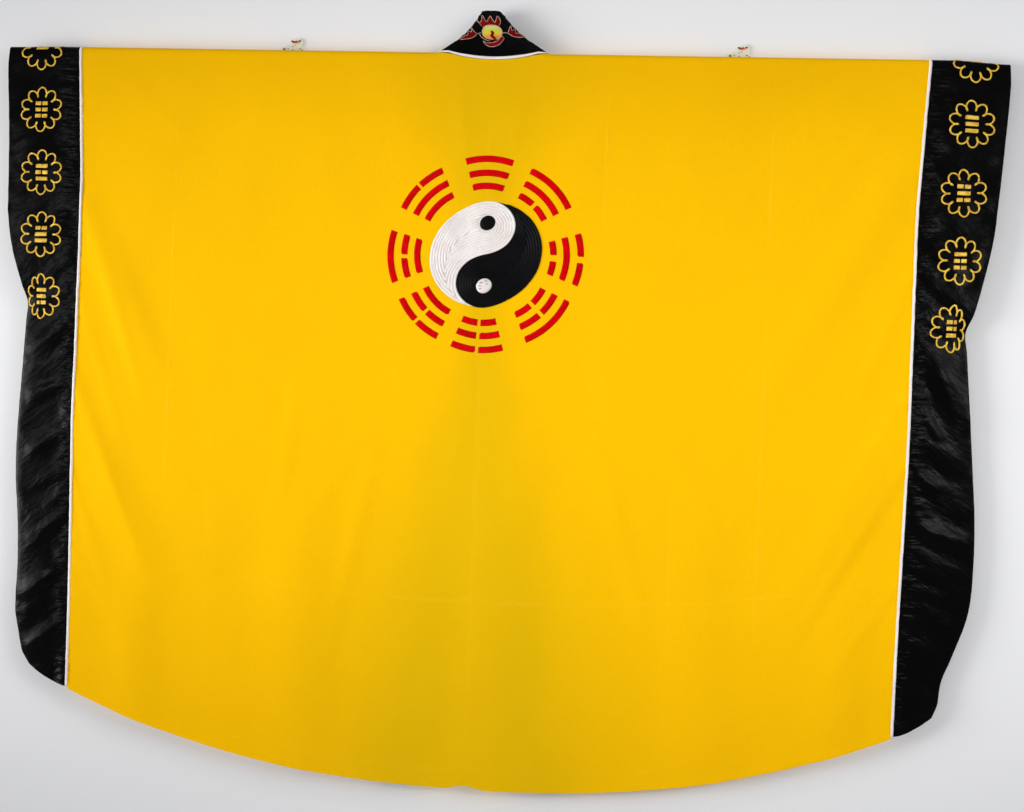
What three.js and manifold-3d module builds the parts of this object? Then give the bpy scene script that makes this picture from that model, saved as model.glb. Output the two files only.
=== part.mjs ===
// A Taoist priest's robe hung flat with its back to the room, on a rod that two wall hooks carry.
// Millimetres. X runs from sleeve to sleeve, +Y points into the wall and +Z is up.
// The origin lies on the wall, level with the rod's axis and midway between the sleeves.
import * as THREE from "three";
import { mergeVertices } from "three/addons/utils/BufferGeometryUtils.js";
import Module from "manifold-3d";

const wasm = await Module();
wasm.setup();

// Cloth and trim
const clothWall = 1.6;
const collarWall = 2;
const seamGap = 0.3;
const piping = { width: 5.6, wall: 2.2, proud: 0.5 };
const clothClear = 0.5; // between the rod and the cloth over it

// What holds the robe up
const rod = { radius: 8, halfLength: 800, sides: 16, fromWall: 24 };
const hook = {
  cupWidth: 16,
  cupWall: 3,
  armTop: 2,
  lipTurn: THREE.MathUtils.degToRad(20),
  plateWidth: 50,
  plateWall: 3,
  plateCorner: 12,
  plateTop: 14,
  plateBottom: -62,
  dome: { z: 4, rise: 22 },
  knob: { aside: 8, z: 28, radius: 10 },
  dentReach: 75,
};
const hookX = { left: 375, right: 436 };

// The robe: half sizes, measured from the centre back seam and the rod's axis
const layer = rod.radius + clothClear + clothWall / 2; // each layer's middle lies this far from the rod's axis
const sideHem = -1168;
const hem = { lowest: -1309, rise: 137, at: 744, power: 2.3, notch: 7, notchHalf: 40 };
const sleeve = { dropLeft: 1.5, dropRight: 6, dropFrom: 800, dropWidth: 100, dropHeight: 300, cuffTop: -430, cuffEnd: -475 };
const foldFrom = 60; // below the rod, where the folds have come up to their full depth

// The seam between yellow cloth and black satin
const sideSeam = [
  { z: 10, x: 765 },
  { z: -145, x: 757 },
  { z: -260, x: 752 },
  { z: -500, x: 752 },
  { z: -720, x: 751 },
  { z: -1000, x: 745.5 },
  { z: sideHem, x: 744 },
];

// The satin's outer edge, which is drawn in where the cuff's opening ends
const cuffEdge = [
  { z: 10, left: 900, right: 899 },
  { z: -30, left: 902, right: 901 },
  { z: -140, left: 896, right: 895 },
  { z: -240, left: 893, right: 888 },
  { z: -305, left: 891, right: 882 },
  { z: -372, left: 879, right: 869 },
  { z: -430, left: 860, right: 855 },
  { z: -462, left: 850, right: 843 },
  { z: -500, left: 852, right: 847 },
  { z: -570, left: 855, right: 853 },
  { z: -710, left: 861, right: 865 },
  { z: -790, left: 860, right: 871 },
  { z: -870, left: 853, right: 872 },
  { z: -950, left: 850, right: 866 },
  { z: -1030, left: 851, right: 840 },
  { z: -1070, left: 844, right: 825 },
  { z: -1110, left: 834, right: 820 },
  { z: -1132, left: 821, right: 812 },
];

// The collar: one straight band a side, joined at the centre back and folded at 45 degrees at the neck
const collar = { top: 84, neckX: 99, seamCentre: 2.4, seamRise: 82, pinch: 0.28, level: 40, lean: -7 };
const foldShift = (Math.PI / 2 - 1) * layer * Math.SQRT1_2; // how far a diagonal bend draws an edge back
const crestZ = layer + 0.3;
const collarLow = crestZ + foldShift;
const collarHigh = collar.top + foldShift;
const foldSum = collar.neckX + collarLow + foldShift; // x + z on the line that the band is folded along
const bendHalf = (Math.PI / 2) * layer * Math.SQRT2; // along the band, from the fold to where it lies flat

// The inner edge of each front band, from the neck to the hem
const frontEdge = [
  { z: 20, x: foldSum - collarHigh },
  { z: -60, x: foldSum - collarHigh },
  { z: -220, x: 11 },
  { z: -420, x: 1.2 },
  { z: -520, x: seamGap / 2 },
  { z: -640, x: 1.5 },
  { z: -800, x: 14 },
  { z: -1000, x: 44 },
  { z: -1310, x: 98 },
];

// Soft folds: each swells away from the rod along a line across the panel
const backFolds = [
  { x1: -770, z1: -230, x2: -560, z2: -660, width: 52, depth: 5 },
  { x1: -770, z1: -600, x2: -560, z2: -1010, width: 60, depth: 6 },
  { x1: -640, z1: -900, x2: -600, z2: -1330, width: 70, depth: 6 },
  { x1: -330, z1: -760, x2: -300, z2: -1400, width: 95, depth: 7 },
  { x1: 40, z1: -640, x2: 60, z2: -1420, width: 110, depth: 5 },
  { x1: 390, z1: -800, x2: 420, z2: -1390, width: 90, depth: 7 },
  { x1: 775, z1: -100, x2: 470, z2: -660, width: 60, depth: 5 },
  { x1: 775, z1: -560, x2: 540, z2: -1000, width: 60, depth: 6 },
  { x1: 660, z1: -880, x2: 640, z2: -1320, width: 66, depth: 6 },
];
const frontFolds = [
  { x1: -700, z1: -300, x2: -480, z2: -900, width: 70, depth: 6 },
  { x1: -560, z1: -760, x2: -560, z2: -1400, width: 85, depth: 7 },
  { x1: -300, z1: -520, x2: -280, z2: -1420, width: 80, depth: 6 },
  { x1: 320, z1: -600, x2: 300, z2: -1420, width: 84, depth: 7 },
  { x1: 520, z1: -720, x2: 560, z2: -1380, width: 80, depth: 6 },
  { x1: 730, z1: -240, x2: 520, z2: -820, width: 66, depth: 6 },
];

// The emblem on the back: the two interlocked halves and the eight trigrams round them
// Drawn on a circle, turned, then stretched along one diagonal and drawn in across it
const emblem = { x: 1.2, z: -352, radius: 100, turn: 1.5, long: 1.03, short: 0.902, diagonal: 26 };
const emblemDot = { z: 59, radius: 14 };
const emblemPull = { share: 0.032, half: 34 }; // longer along the centre seam
const emblemWall = 2;
const trigramBar = { width: 11.8, wall: 1, bend: 0.8 };
const trigramRings = [
  { ring: "outer", radius: 171, half: 47 },
  { ring: "middle", radius: 146, half: 39 },
  { ring: "inner", radius: 122.5, half: 31 },
];
// Clockwise from the top: whole and broken bars from the outer ring to the inner one, how far the group leans
// round the ring in degrees, how long its bars are and the gap of its broken ones
const trigrams = [
  { name: "top", whole: [true, true, true], lean: 0.6, stretch: 0.92, gap: 6 },
  { name: "top_right", whole: [true, true, false], lean: -1.8, stretch: 1.05, gap: 6 },
  { name: "right", whole: [false, true, false], lean: 1.6, stretch: 0.99, gap: 11 },
  { name: "low_right", whole: [true, false, false], lean: 0, stretch: 1.12, gap: 6.5 },
  { name: "low", whole: [false, false, false], lean: 2.8, stretch: 1, gap: 5.4 },
  { name: "low_left", whole: [false, false, true], lean: -0.6, stretch: 1.03, gap: 5.2 },
  { name: "left", whole: [true, false, true], lean: -3, stretch: 1, gap: 6.2 },
  { name: "top_left", whole: [false, true, true], lean: -0.8, stretch: 1.07, gap: 4.6 },
];

// Grid lines of the cloth: down each layer, and across each panel from the centre
const ridgeShare = seamGap / (Math.PI * layer); // front and back stop this far short of the ridge
const archSteps = [ridgeShare, 1 / 3, 2 / 3, 1];
const backDrops = [
  40, 95, 160, 230, 300, 372, 420, 445, 468, 500, 560, 630, 710, 790, 870, 950, 1020, 1075, 1125, 1168,
];
const frontDrops = [5, 9.8, 13.9, 17.9, 19.6, 21.3, 23, 30, 45, 66, 95, 140, 200, 280, 372, 420, 445, 468,
  510, 600, 700, 800, 900, 1000, 1085, 1168];
const backColumns = [180, 260, 340, 420, 500, 575, 640, 700];
const dentColumns = [-75, -52, -30, -11, 11, 30, 52, 75];
const frontColumns = [170, 250, 520, 600, 670, 715];
const slant = { from: 100, over: 200 }; // the front's columns lean with its inner edge below this
const satinShares = [0, 0.3, 0.6, 0.85, 1];
const collarFrom = 8; // the collar follows the front's grid lines from this one down
const collarMiddle = 140;
const bendRoom = 1.4; // the piping stands off the collar where they meet at an angle
const outerRoom = 1.1; // and off the body
const neckDip = 12; // the neck's short columns run this far below the neck edge before the plain rows

const colours = {
  yellow: { color: 0xf0b90c, roughness: 0.72, metalness: 0 },
  satin: { color: 0x0d0d10, roughness: 0.34, metalness: 0 },
  white: { color: 0xf2ece6, roughness: 0.55, metalness: 0 },
  red: { color: 0xc8101c, roughness: 0.42, metalness: 0 },
  wood: { color: 0xb98a56, roughness: 0.5, metalness: 0 },
  enamel: { color: 0xf4f0e6, roughness: 0.3, metalness: 0 },
};

const smooth = (t) => THREE.MathUtils.smoothstep(t, 0, 1);

// Reads a table at z with a curve through its rows, which run downwards
function readTable(table, column, z) {
  const last = table.length - 1;
  const k = table.findIndex((row) => row.z <= z);
  if (k <= 0) return table[k < 0 ? last : 0][column];
  const slope = (i) => {
    const a = table[Math.max(i - 1, 0)];
    const b = table[Math.min(i + 1, last)];
    return (b[column] - a[column]) / (b.z - a.z);
  };
  const from = table[k - 1];
  const to = table[k];
  const step = to.z - from.z;
  const t = (z - from.z) / step;
  const rise = to[column] - from[column];
  const a = slope(k - 1) * step - rise;
  const b = -slope(k) * step + rise;
  return from[column] + t * rise + t * (1 - t) * (a * (1 - t) + b * t);
}

function hemZ(x) {
  const notch = hem.notch * (1 - smooth(x / hem.notchHalf));
  return hem.lowest + hem.rise * (x / hem.at) ** hem.power + notch;
}

// How far the cloth swells out along the folds at a point of a panel
function swell(folds, x, z) {
  let sum = 0;
  for (const f of folds) {
    const along = new THREE.Vector2(f.x2 - f.x1, f.z2 - f.z1);
    const from = new THREE.Vector2(x - f.x1, z - f.z1);
    const length = along.length();
    const share = from.dot(along) / length ** 2;
    const off = Math.abs(from.cross(along)) / length / f.width;
    if (off >= 1 || share <= 0 || share >= 1) continue;
    sum += f.depth * Math.cos((off * Math.PI) / 2) ** 2 * Math.sin(share * Math.PI) ** 0.8;
  }
  return sum;
}

// The sleeve ends hang a little lower than the rod
const sleeveDrop = (side, x) =>
  (side < 0 ? sleeve.dropLeft : sleeve.dropRight) * smooth((x - sleeve.dropFrom) / sleeve.dropWidth);

// A point of a layer that hangs below the rod. x is the distance from the centre, face -1 is the back
function hanging(side, face, x, z) {
  const name = side < 0 ? "left" : "right";
  const seam = readTable(sideSeam, "x", z);
  const edge = readTable(cuffEdge, name, z);
  const out = THREE.MathUtils.clamp((x - seam) / (edge - seam), 0, 1);
  const closed = smooth((sleeve.cuffTop - z) / (sleeve.cuffTop - sleeve.cuffEnd));
  const sewn = clothWall / 2 + seamGap / 2;
  const joined = sewn + (layer - sewn) * Math.sqrt(1 - out ** 2 * (2 - out));
  const flat = THREE.MathUtils.lerp(layer, joined, closed);
  const fold = swell(face < 0 ? backFolds : frontFolds, side * x, z) * (1 - smooth(out * 1.2));
  const drop = sleeveDrop(side, x) * (1 - smooth(-z / sleeve.dropHeight));
  return new THREE.Vector3(side * x, face * (flat + fold * smooth(-z / foldFrom)) - rod.fromWall, z - drop);
}

// A point of a layer over the rod. share 0 is the ridge, and 1 is level with the rod's axis
function archPoint(side, face, x, share, top) {
  const angle = (share * Math.PI) / 2;
  const y = top.y + (layer - top.y) * Math.sin(angle);
  return new THREE.Vector3(side * x, face * y - rod.fromWall, top.z * Math.cos(angle) - sleeveDrop(side, x));
}

const rowZ = (x, drop) => -drop + (hemZ(x) - sideHem) * (drop / -sideHem) ** 2;
const ridge = { y: 0, z: layer };

// The cloth pressed at a hook comes back to its plain depth, and further down to its plain height
const pressed = { half: 11, depthEnd: 90, heightEnd: 320 };

// Where the wall-side layer is pressed between the rod and a hook's cup, as a shift from its plain way
function dent(side, x, drop) {
  const off = Math.abs(x - hookX[side < 0 ? "left" : "right"]);
  const weight = 1 - smooth((off - pressed.half) / (hook.dentReach - pressed.half));
  if (weight <= 0 || drop <= 0) return { y: 0, z: 0 };
  const cupMiddle = layer + clothWall / 2 + seamGap + hook.cupWall / 2;
  const lipRadius = cupMiddle - layer;
  const underRod = layer * (Math.PI / 2 + hook.lipTurn);
  const lipTurn = Math.PI / 2 + hook.lipTurn;
  const lipY = -cupMiddle * Math.sin(hook.lipTurn);
  const lipZ = -cupMiddle * Math.cos(hook.lipTurn);
  const roundLip = underRod + lipRadius * lipTurn;
  let y = layer * Math.cos(drop / layer);
  let z = -layer * Math.sin(drop / layer);
  if (drop > underRod) {
    const turned = Math.min((drop - underRod) / lipRadius, lipTurn);
    const angle = Math.PI / 2 - hook.lipTurn + turned;
    y = lipY + lipRadius * Math.cos(angle);
    z = lipZ + lipRadius * Math.sin(angle);
  }
  const past = Math.max(drop - roundLip, 0);
  const left = drop > roundLip ? lipZ + roundLip : z + drop;
  return {
    y: weight * (y - layer) * (1 - smooth(past / pressed.depthEnd)),
    z: weight * left * (1 - smooth(past / pressed.heightEnd)),
  };
}

// A point of the diagonal fold map: along the collar band from the centre back, up from its sewn edge
function collarPoint(side, along, up) {
  const low = THREE.MathUtils.lerp(collar.seamCentre, collarLow, Math.min(along / collar.seamRise, 1) ** 2);
  const flatZ = low + (up * (collarHigh - low)) / (collarHigh - collarLow);
  const past = (along + flatZ - foldSum) * Math.SQRT1_2;
  const half = (Math.PI / 2) * layer;
  let q = past;
  let y = -layer;
  if (past > half) {
    q = -past;
    y = layer;
  } else if (past > -half) {
    const angle = (past + half) / layer;
    q = -half + layer * Math.sin(angle);
    y = -layer * Math.cos(angle);
  }
  let x = (foldSum + q * Math.SQRT2 + (along - flatZ)) / 2;
  let z = (foldSum + q * Math.SQRT2 - (along - flatZ)) / 2;
  // the top edge runs level across the back to the fold's crest
  if (past < 0) {
    const sunk = foldShift + (q - past) * Math.SQRT1_2;
    z -= sunk * smooth(1 - (collarHigh - flatZ) / collar.level);
  }
  const height = THREE.MathUtils.clamp((z - crestZ) / (collar.top - crestZ), 0, 1);
  x *= 1 - collar.pinch * Math.sin((height * Math.PI) / 1.6) ** 1.2;
  const push = crestZ / Math.hypot(y, z); // over 1 where the bend would come too near the rod
  if (push > 1 && z > -layer && Math.abs(y) < layer) {
    y = Math.min(y * push, layer);
    z *= push;
  }
  if (y > 0 && z < 0) x += readTable(frontEdge, "x", z) - frontEdge[0].x;
  return new THREE.Vector3(side * x + collar.lean * height ** 1.4, y - rod.fromWall, z);
}

// The body panels' neck edge: the collar's sewn edge moved out by the piping and its two seam gaps
const neckStep = piping.width + 2 * seamGap;
function neckEdge(side, along, share = 1) {
  const sewn = collarPoint(side, along, 0);
  const start = foldSum - collarLow - bendHalf;
  const turn = smooth((along - start) / bendHalf) * (Math.PI / 2);
  sewn.x += side * neckStep * share * Math.sin(turn);
  sewn.z -= neckStep * share * Math.cos(turn);
  return sewn;
}

// A closed wall over a grid of points, half its thickness to each side, or lifted off to one side
function wallOf(grid, wall, lift = 0, away = -1) {
  const rows = grid.length;
  const cols = grid[0].length;
  const normal = (r, c) => {
    const down = grid[Math.min(r + 1, rows - 1)][c].clone().sub(grid[Math.max(r - 1, 0)][c]);
    if (r === 0 && rows > 2) down.multiplyScalar(4).addScaledVector(grid[2][c].clone().sub(grid[0][c]), -1);
    const across = grid[r][Math.min(c + 1, cols - 1)].clone().sub(grid[r][Math.max(c - 1, 0)]);
    return down.cross(across).normalize();
  };
  const flip = Math.sign(normal(1, 0).y) === away ? 1 : -1;
  const points = [];
  for (const offset of [lift + wall / 2, lift - wall / 2])
    for (let r = 0; r < rows; r++)
      for (let c = 0; c < cols; c++)
        points.push(grid[r][c].clone().addScaledVector(normal(r, c), flip * offset));
  const at = (r, c, inner) => inner * rows * cols + r * cols + c;
  const faces = [];
  const quad = (a, b, c, d) => faces.push(a, b, c, a, c, d);
  for (let r = 0; r + 1 < rows; r++) {
    for (let c = 0; c + 1 < cols; c++) {
      quad(at(r, c, 0), at(r, c + 1, 0), at(r + 1, c + 1, 0), at(r + 1, c, 0));
      quad(at(r, c, 1), at(r + 1, c, 1), at(r + 1, c + 1, 1), at(r, c + 1, 1));
    }
    quad(at(r, 0, 0), at(r + 1, 0, 0), at(r + 1, 0, 1), at(r, 0, 1));
    quad(at(r, cols - 1, 0), at(r, cols - 1, 1), at(r + 1, cols - 1, 1), at(r + 1, cols - 1, 0));
  }
  for (let c = 0; c + 1 < cols; c++) {
    quad(at(0, c, 0), at(0, c, 1), at(0, c + 1, 1), at(0, c + 1, 0));
    quad(at(rows - 1, c, 0), at(rows - 1, c + 1, 0), at(rows - 1, c + 1, 1), at(rows - 1, c, 1));
  }
  return closedFaces(points, faces);
}

// Turns the faces outwards and makes the geometry
function closedFaces(points, faces) {
  let volume = 0;
  for (let i = 0; i < faces.length; i += 3) {
    const [a, b, c] = [points[faces[i]], points[faces[i + 1]], points[faces[i + 2]]];
    volume += a.dot(b.clone().cross(c));
  }
  if (volume < 0)
    for (let i = 0; i < faces.length; i += 3) [faces[i + 1], faces[i + 2]] = [faces[i + 2], faces[i + 1]];
  return new THREE.BufferGeometry().setFromPoints(points).setIndex(faces);
}

function asSolid(geometry) {
  const bare = geometry.clone();
  bare.deleteAttribute("normal");
  bare.deleteAttribute("uv");
  const merged = mergeVertices(bare.index ? bare.toNonIndexed() : bare, 1e-3);
  const mesh = new wasm.Mesh({
    numProp: 3,
    vertProperties: merged.attributes.position.array,
    triVerts: new Uint32Array(merged.index.array),
  });
  return new wasm.Manifold(mesh);
}

function fromSolid(solid) {
  const mesh = solid.getMesh();
  return new THREE.BufferGeometry()
    .setAttribute("position", new THREE.BufferAttribute(mesh.vertProperties, 3))
    .setIndex(new THREE.BufferAttribute(mesh.triVerts, 1));
}

const robe = new THREE.Group();
function add(name, geometry, colour) {
  const mesh = new THREE.Mesh(geometry, new THREE.MeshStandardMaterial(colours[colour]));
  mesh.name = name;
  robe.add(mesh);
}

const seamInner = piping.width / 2 + seamGap; // from the seam's middle to the cloth's edge
const bendStart = foldSum - collarLow - bendHalf; // along the collar's sewn edge
const bendCrest = foldSum - collarLow;
const inBend = (along) => smooth(1.6 * (1 - Math.abs(along - bendCrest) / bendHalf));

// Where along the collar's sewn edge the neck edge reaches a value of x or z
function alongAt(axis, value, low, high) {
  const rises = neckEdge(1, high)[axis] > neckEdge(1, low)[axis];
  let [a, b] = [low, high];
  for (let i = 0; i < 40; i++) {
    const middle = (a + b) / 2;
    if (neckEdge(1, middle)[axis] < value === rises) a = middle;
    else b = middle;
  }
  return a;
}

const turnGrid = (columns) => columns[0].map((_, row) => columns.map((column) => column[row]));

// Yellow back: from the neck and the shoulder's ridge down to the hem
function bodyBack(side) {
  const crestX = neckEdge(1, bendCrest).x;
  const columnAt = (x, edgeAt) => {
    let top = ridge;
    if (x < crestX) {
      const along = x < bendStart ? x : alongAt("x", x, bendStart, bendCrest);
      const edge = neckEdge(1, along);
      top = { y: Math.max(-edge.y - rod.fromWall, seamGap), z: edge.z };
    }
    const arch = archSteps.map((share) =>
      top.z > 0 ? archPoint(side, -1, x, share, top) : hanging(side, -1, x, top.z - share * neckDip),
    );
    const below = backDrops.map((drop) => {
      const z = rowZ(x, drop);
      return hanging(side, -1, edgeAt ? edgeAt(z) : x, z);
    });
    return [...arch, ...below];
  };
  const atSeam = (z) => readTable(sideSeam, "x", z) - seamInner;
  const neckColumns = collarStops(collarLow).filter((along) => along <= bendCrest);
  const inside = [...neckColumns.map((along) => neckEdge(1, along).x), ...backColumns].map((x) => columnAt(x));
  return wallOf(turnGrid([...inside, columnAt(atSeam(0), atSeam)]), clothWall);
}

// Yellow front: from the ridge down, between the collar's piping and the side seam
function bodyFront(side) {
  const nearHook = dentColumns.map((off) => hookX[side < 0 ? "left" : "right"] + off);
  const xs = [...frontColumns, ...nearHook].sort((a, b) => a - b);
  const crest = neckEdge(1, bendCrest);
  const frontAlong = (z) => alongAt("z", z, bendCrest, foldSum - hem.lowest + piping.width * 8);
  const innerX = (z) => neckEdge(1, frontAlong(z)).x;
  const seamTop = readTable(sideSeam, "x", 0) - seamInner;
  const inner = archSteps.map((share) => neckEdge(side, frontAlong(crest.z * Math.cos((share * Math.PI) / 2))));
  inner[0].y = Math.max(inner[0].y, seamGap - rod.fromWall);
  for (const drop of frontDrops) inner.push(neckEdge(side, frontAlong(rowZ(innerX(-drop), drop))));
  const columnAt = (x0) => {
    const arch = archSteps.map((share) => archPoint(side, 1, x0, share, ridge));
    const below = frontDrops.map((drop) => {
      const moved = (innerX(-drop) - crest.x) * smooth((drop - slant.from) / slant.over);
      const x = x0 + moved * (1 - (x0 - crest.x) / (seamTop - crest.x));
      const point = hanging(side, 1, x, rowZ(x, drop));
      const shift = dent(side, x, drop);
      return point.add(new THREE.Vector3(0, shift.y, shift.z));
    });
    return [...arch, ...below];
  };
  const outer = archSteps.map((share) => archPoint(side, 1, seamTop, share, ridge));
  for (const drop of frontDrops)
    outer.push(hanging(side, 1, readTable(sideSeam, "x", -drop) - seamInner, -drop));
  return wallOf(turnGrid([inner, ...xs.map(columnAt), outer]), clothWall, 0, 1);
}

// A satin sleeve band on one face: from the side seam's piping to its outer edge
function satinBand(side, face) {
  const name = side < 0 ? "left" : "right";
  const drops = face < 0 ? backDrops : frontDrops;
  const corner = cuffEdge[cuffEdge.length - 1].z - sideHem;
  const columnAt = (share) => {
    const across = (z) => {
      const from = readTable(sideSeam, "x", z) + seamInner;
      return THREE.MathUtils.lerp(from, readTable(cuffEdge, name, z), share);
    };
    const arch = archSteps.map((step) => archPoint(side, face, across(0), step, ridge));
    const below = drops.map((drop) => {
      const z = -drop + corner * share ** 1.5 * (drop / -sideHem) ** 6;
      return hanging(side, face, across(z), z);
    });
    return [...arch, ...below];
  };
  return wallOf(turnGrid(satinShares.map(columnAt)), clothWall, 0, face);
}

// White piping in a side seam, from the back hem over the shoulder to the front hem
function sidePiping(side) {
  const edge = (offset) => {
    const at = (face, drop) => {
      const x = readTable(sideSeam, "x", -drop) + offset;
      return hanging(side, face, x, -drop);
    };
    const arch = (face, share) => archPoint(side, face, readTable(sideSeam, "x", 0) + offset, share, ridge);
    return [
      ...backDrops.map((drop) => at(-1, drop)).reverse(),
      ...archSteps.slice(1).map((share) => arch(-1, share)).reverse(),
      ...[0, ...archSteps.slice(1)].map((share) => arch(1, share)),
      ...frontDrops.map((drop) => at(1, drop)),
    ];
  };
  const half = piping.width / 2;
  return wallOf(turnGrid([edge(-half), edge(half)]), piping.wall, piping.proud);
}

// The collar's grid lines: across the back, round the diagonal fold, then down the front
function collarStops(flatZ) {
  const foldAt = foldSum - flatZ;
  const across = [0, 0.36, 0.7].map((t) => THREE.MathUtils.lerp(seamGap / 2, foldAt - bendHalf, t));
  const round = [-1, -0.75, -0.5, -0.25, 0, 0.25, 0.5, 0.75, 1].map((t) => foldAt + t * bendHalf);
  const level = foldSum + frontDrops[collarFrom];
  const down = frontDrops.slice(collarFrom).map((drop) => foldSum - rowZ(collarMiddle, drop));
  return [...across, ...round, (foldAt + bendHalf + level) / 2, ...down];
}

function collarBand(side) {
  const high = collarHigh - collarLow;
  const columns = [0, high / 2, high].map((up) =>
    collarStops(collarLow + up).map((along) => collarPoint(side, along, up)),
  );
  return wallOf(turnGrid(columns), collarWall);
}

function collarPiping(side) {
  const stops = collarStops(collarLow);
  const sewn = stops.map((along) => neckEdge(side, along, (seamGap + bendRoom * inBend(along)) / neckStep));
  const outer = stops.map((along) => neckEdge(side, along, 1 - (seamGap + outerRoom * inBend(along)) / neckStep));
  return wallOf(turnGrid([sewn, outer]), piping.wall, piping.proud);
}

// A trigram bar or half bar on the back, bent a little more than the ring that it stands in
function bar(ringRadius, turn, from, to, steps) {
  const radius = ringRadius * trigramBar.bend;
  const direction = new THREE.Vector2(Math.sin(turn), Math.cos(turn));
  const centre = direction.multiplyScalar(ringRadius - radius);
  const grid = [];
  for (let i = 0; i <= steps; i++) {
    const angle = turn + THREE.MathUtils.lerp(from, to, i / steps);
    const row = [-1, 1].map((edge) => {
      const reach = radius + (edge * trigramBar.width) / 2;
      const x = centre.x + reach * Math.sin(angle);
      const z = emblem.z + centre.y + reach * Math.cos(angle);
      return hanging(Math.sign(x), -1, Math.abs(x), z);
    });
    grid.push(row);
  }
  return wallOf(grid, trigramBar.wall, clothWall / 2 + seamGap + trigramBar.wall / 2);
}

function addTrigrams() {
  trigrams.forEach(({ name, whole, lean, stretch, gap: apart }, i) => {
    const turn = (i * Math.PI) / 4 + THREE.MathUtils.degToRad(lean);
    trigramRings.forEach(({ ring, radius, half: reach }, line) => {
      const half = (stretch * reach) / (radius * trigramBar.bend);
      const gap = apart / 2 / (radius * trigramBar.bend);
      const label = `bar_${name}_${ring}`;
      if (whole[line]) {
        add(label, bar(radius, turn, -half, half, 5), "red");
        return;
      }
      add(label + "_a", bar(radius, turn, -half, -gap, 2), "red");
      add(label + "_b", bar(radius, turn, gap, half, 2), "red");
    });
  });
}

// A flat shape of the emblem, drawn on a circle, laid on the back panel's outer face
function onBack(shape, wall, lift) {
  const geometry = new THREE.ExtrudeGeometry(shape, { depth: wall, bevelEnabled: false, curveSegments: 14 });
  geometry.deleteAttribute("normal");
  geometry.deleteAttribute("uv");
  const merged = mergeVertices(geometry, 1e-4);
  const turn = THREE.MathUtils.degToRad(emblem.turn);
  const diagonal = THREE.MathUtils.degToRad(emblem.diagonal);
  const middle = new THREE.Vector2();
  const position = merged.attributes.position;
  const points = [];
  for (let i = 0; i < position.count; i++) {
    const flat = new THREE.Vector2(position.getX(i), position.getY(i)).rotateAround(middle, turn - diagonal);
    flat.multiply(new THREE.Vector2(emblem.long, emblem.short)).rotateAround(middle, diagonal);
    flat.y *= 1 + emblemPull.share * Math.exp(-((flat.x / emblemPull.half) ** 2));
    flat.x += emblem.x;
    const point = hanging(Math.sign(flat.x) || 1, -1, Math.abs(flat.x), emblem.z + flat.y);
    point.y -= lift + position.getZ(i);
    points.push(point);
  }
  return closedFaces(points, [...merged.index.array]);
}

// One half of the emblem: a comma with a hole for the dot in its head. Turned half round, it is the other
function commaShape(halfTurn) {
  const radius = emblem.radius;
  const tip = 0.08;
  const tail = 0.15;
  const gap = seamGap / 2;
  const start = halfTurn + Math.PI / 2;
  const centre = (sign) => new THREE.Vector2(0, (sign * radius) / 2).rotateAround(new THREE.Vector2(), halfTurn);
  const shape = new THREE.Shape();
  shape.absarc(0, 0, radius, start + tail, start + Math.PI - tip, false);
  const low = centre(-1);
  shape.absarc(low.x, low.y, radius / 2 + gap, start + Math.PI - tail, start, true);
  const head = centre(1);
  shape.absarc(head.x, head.y, radius / 2 - gap, start - Math.PI, start, false);
  const hole = new THREE.Path();
  const dot = new THREE.Vector2(0, emblemDot.z).rotateAround(new THREE.Vector2(), halfTurn);
  hole.absarc(dot.x, dot.y, emblemDot.radius + seamGap, 0, 2 * Math.PI, true);
  shape.holes.push(hole);
  return shape;
}

function dotShape(halfTurn) {
  const dot = new THREE.Vector2(0, emblemDot.z).rotateAround(new THREE.Vector2(), halfTurn);
  return new THREE.Shape().absarc(dot.x, dot.y, emblemDot.radius, 0, 2 * Math.PI, false);
}

function addEmblem() {
  const lift = clothWall / 2 + seamGap;
  add("emblem_white", onBack(commaShape(0), emblemWall, lift), "white");
  add("emblem_black", onBack(commaShape(Math.PI), emblemWall, lift), "satin");
  add("dot_black", onBack(dotShape(0), emblemWall, lift), "satin");
  add("dot_white", onBack(dotShape(Math.PI), emblemWall, lift), "white");
}

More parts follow.
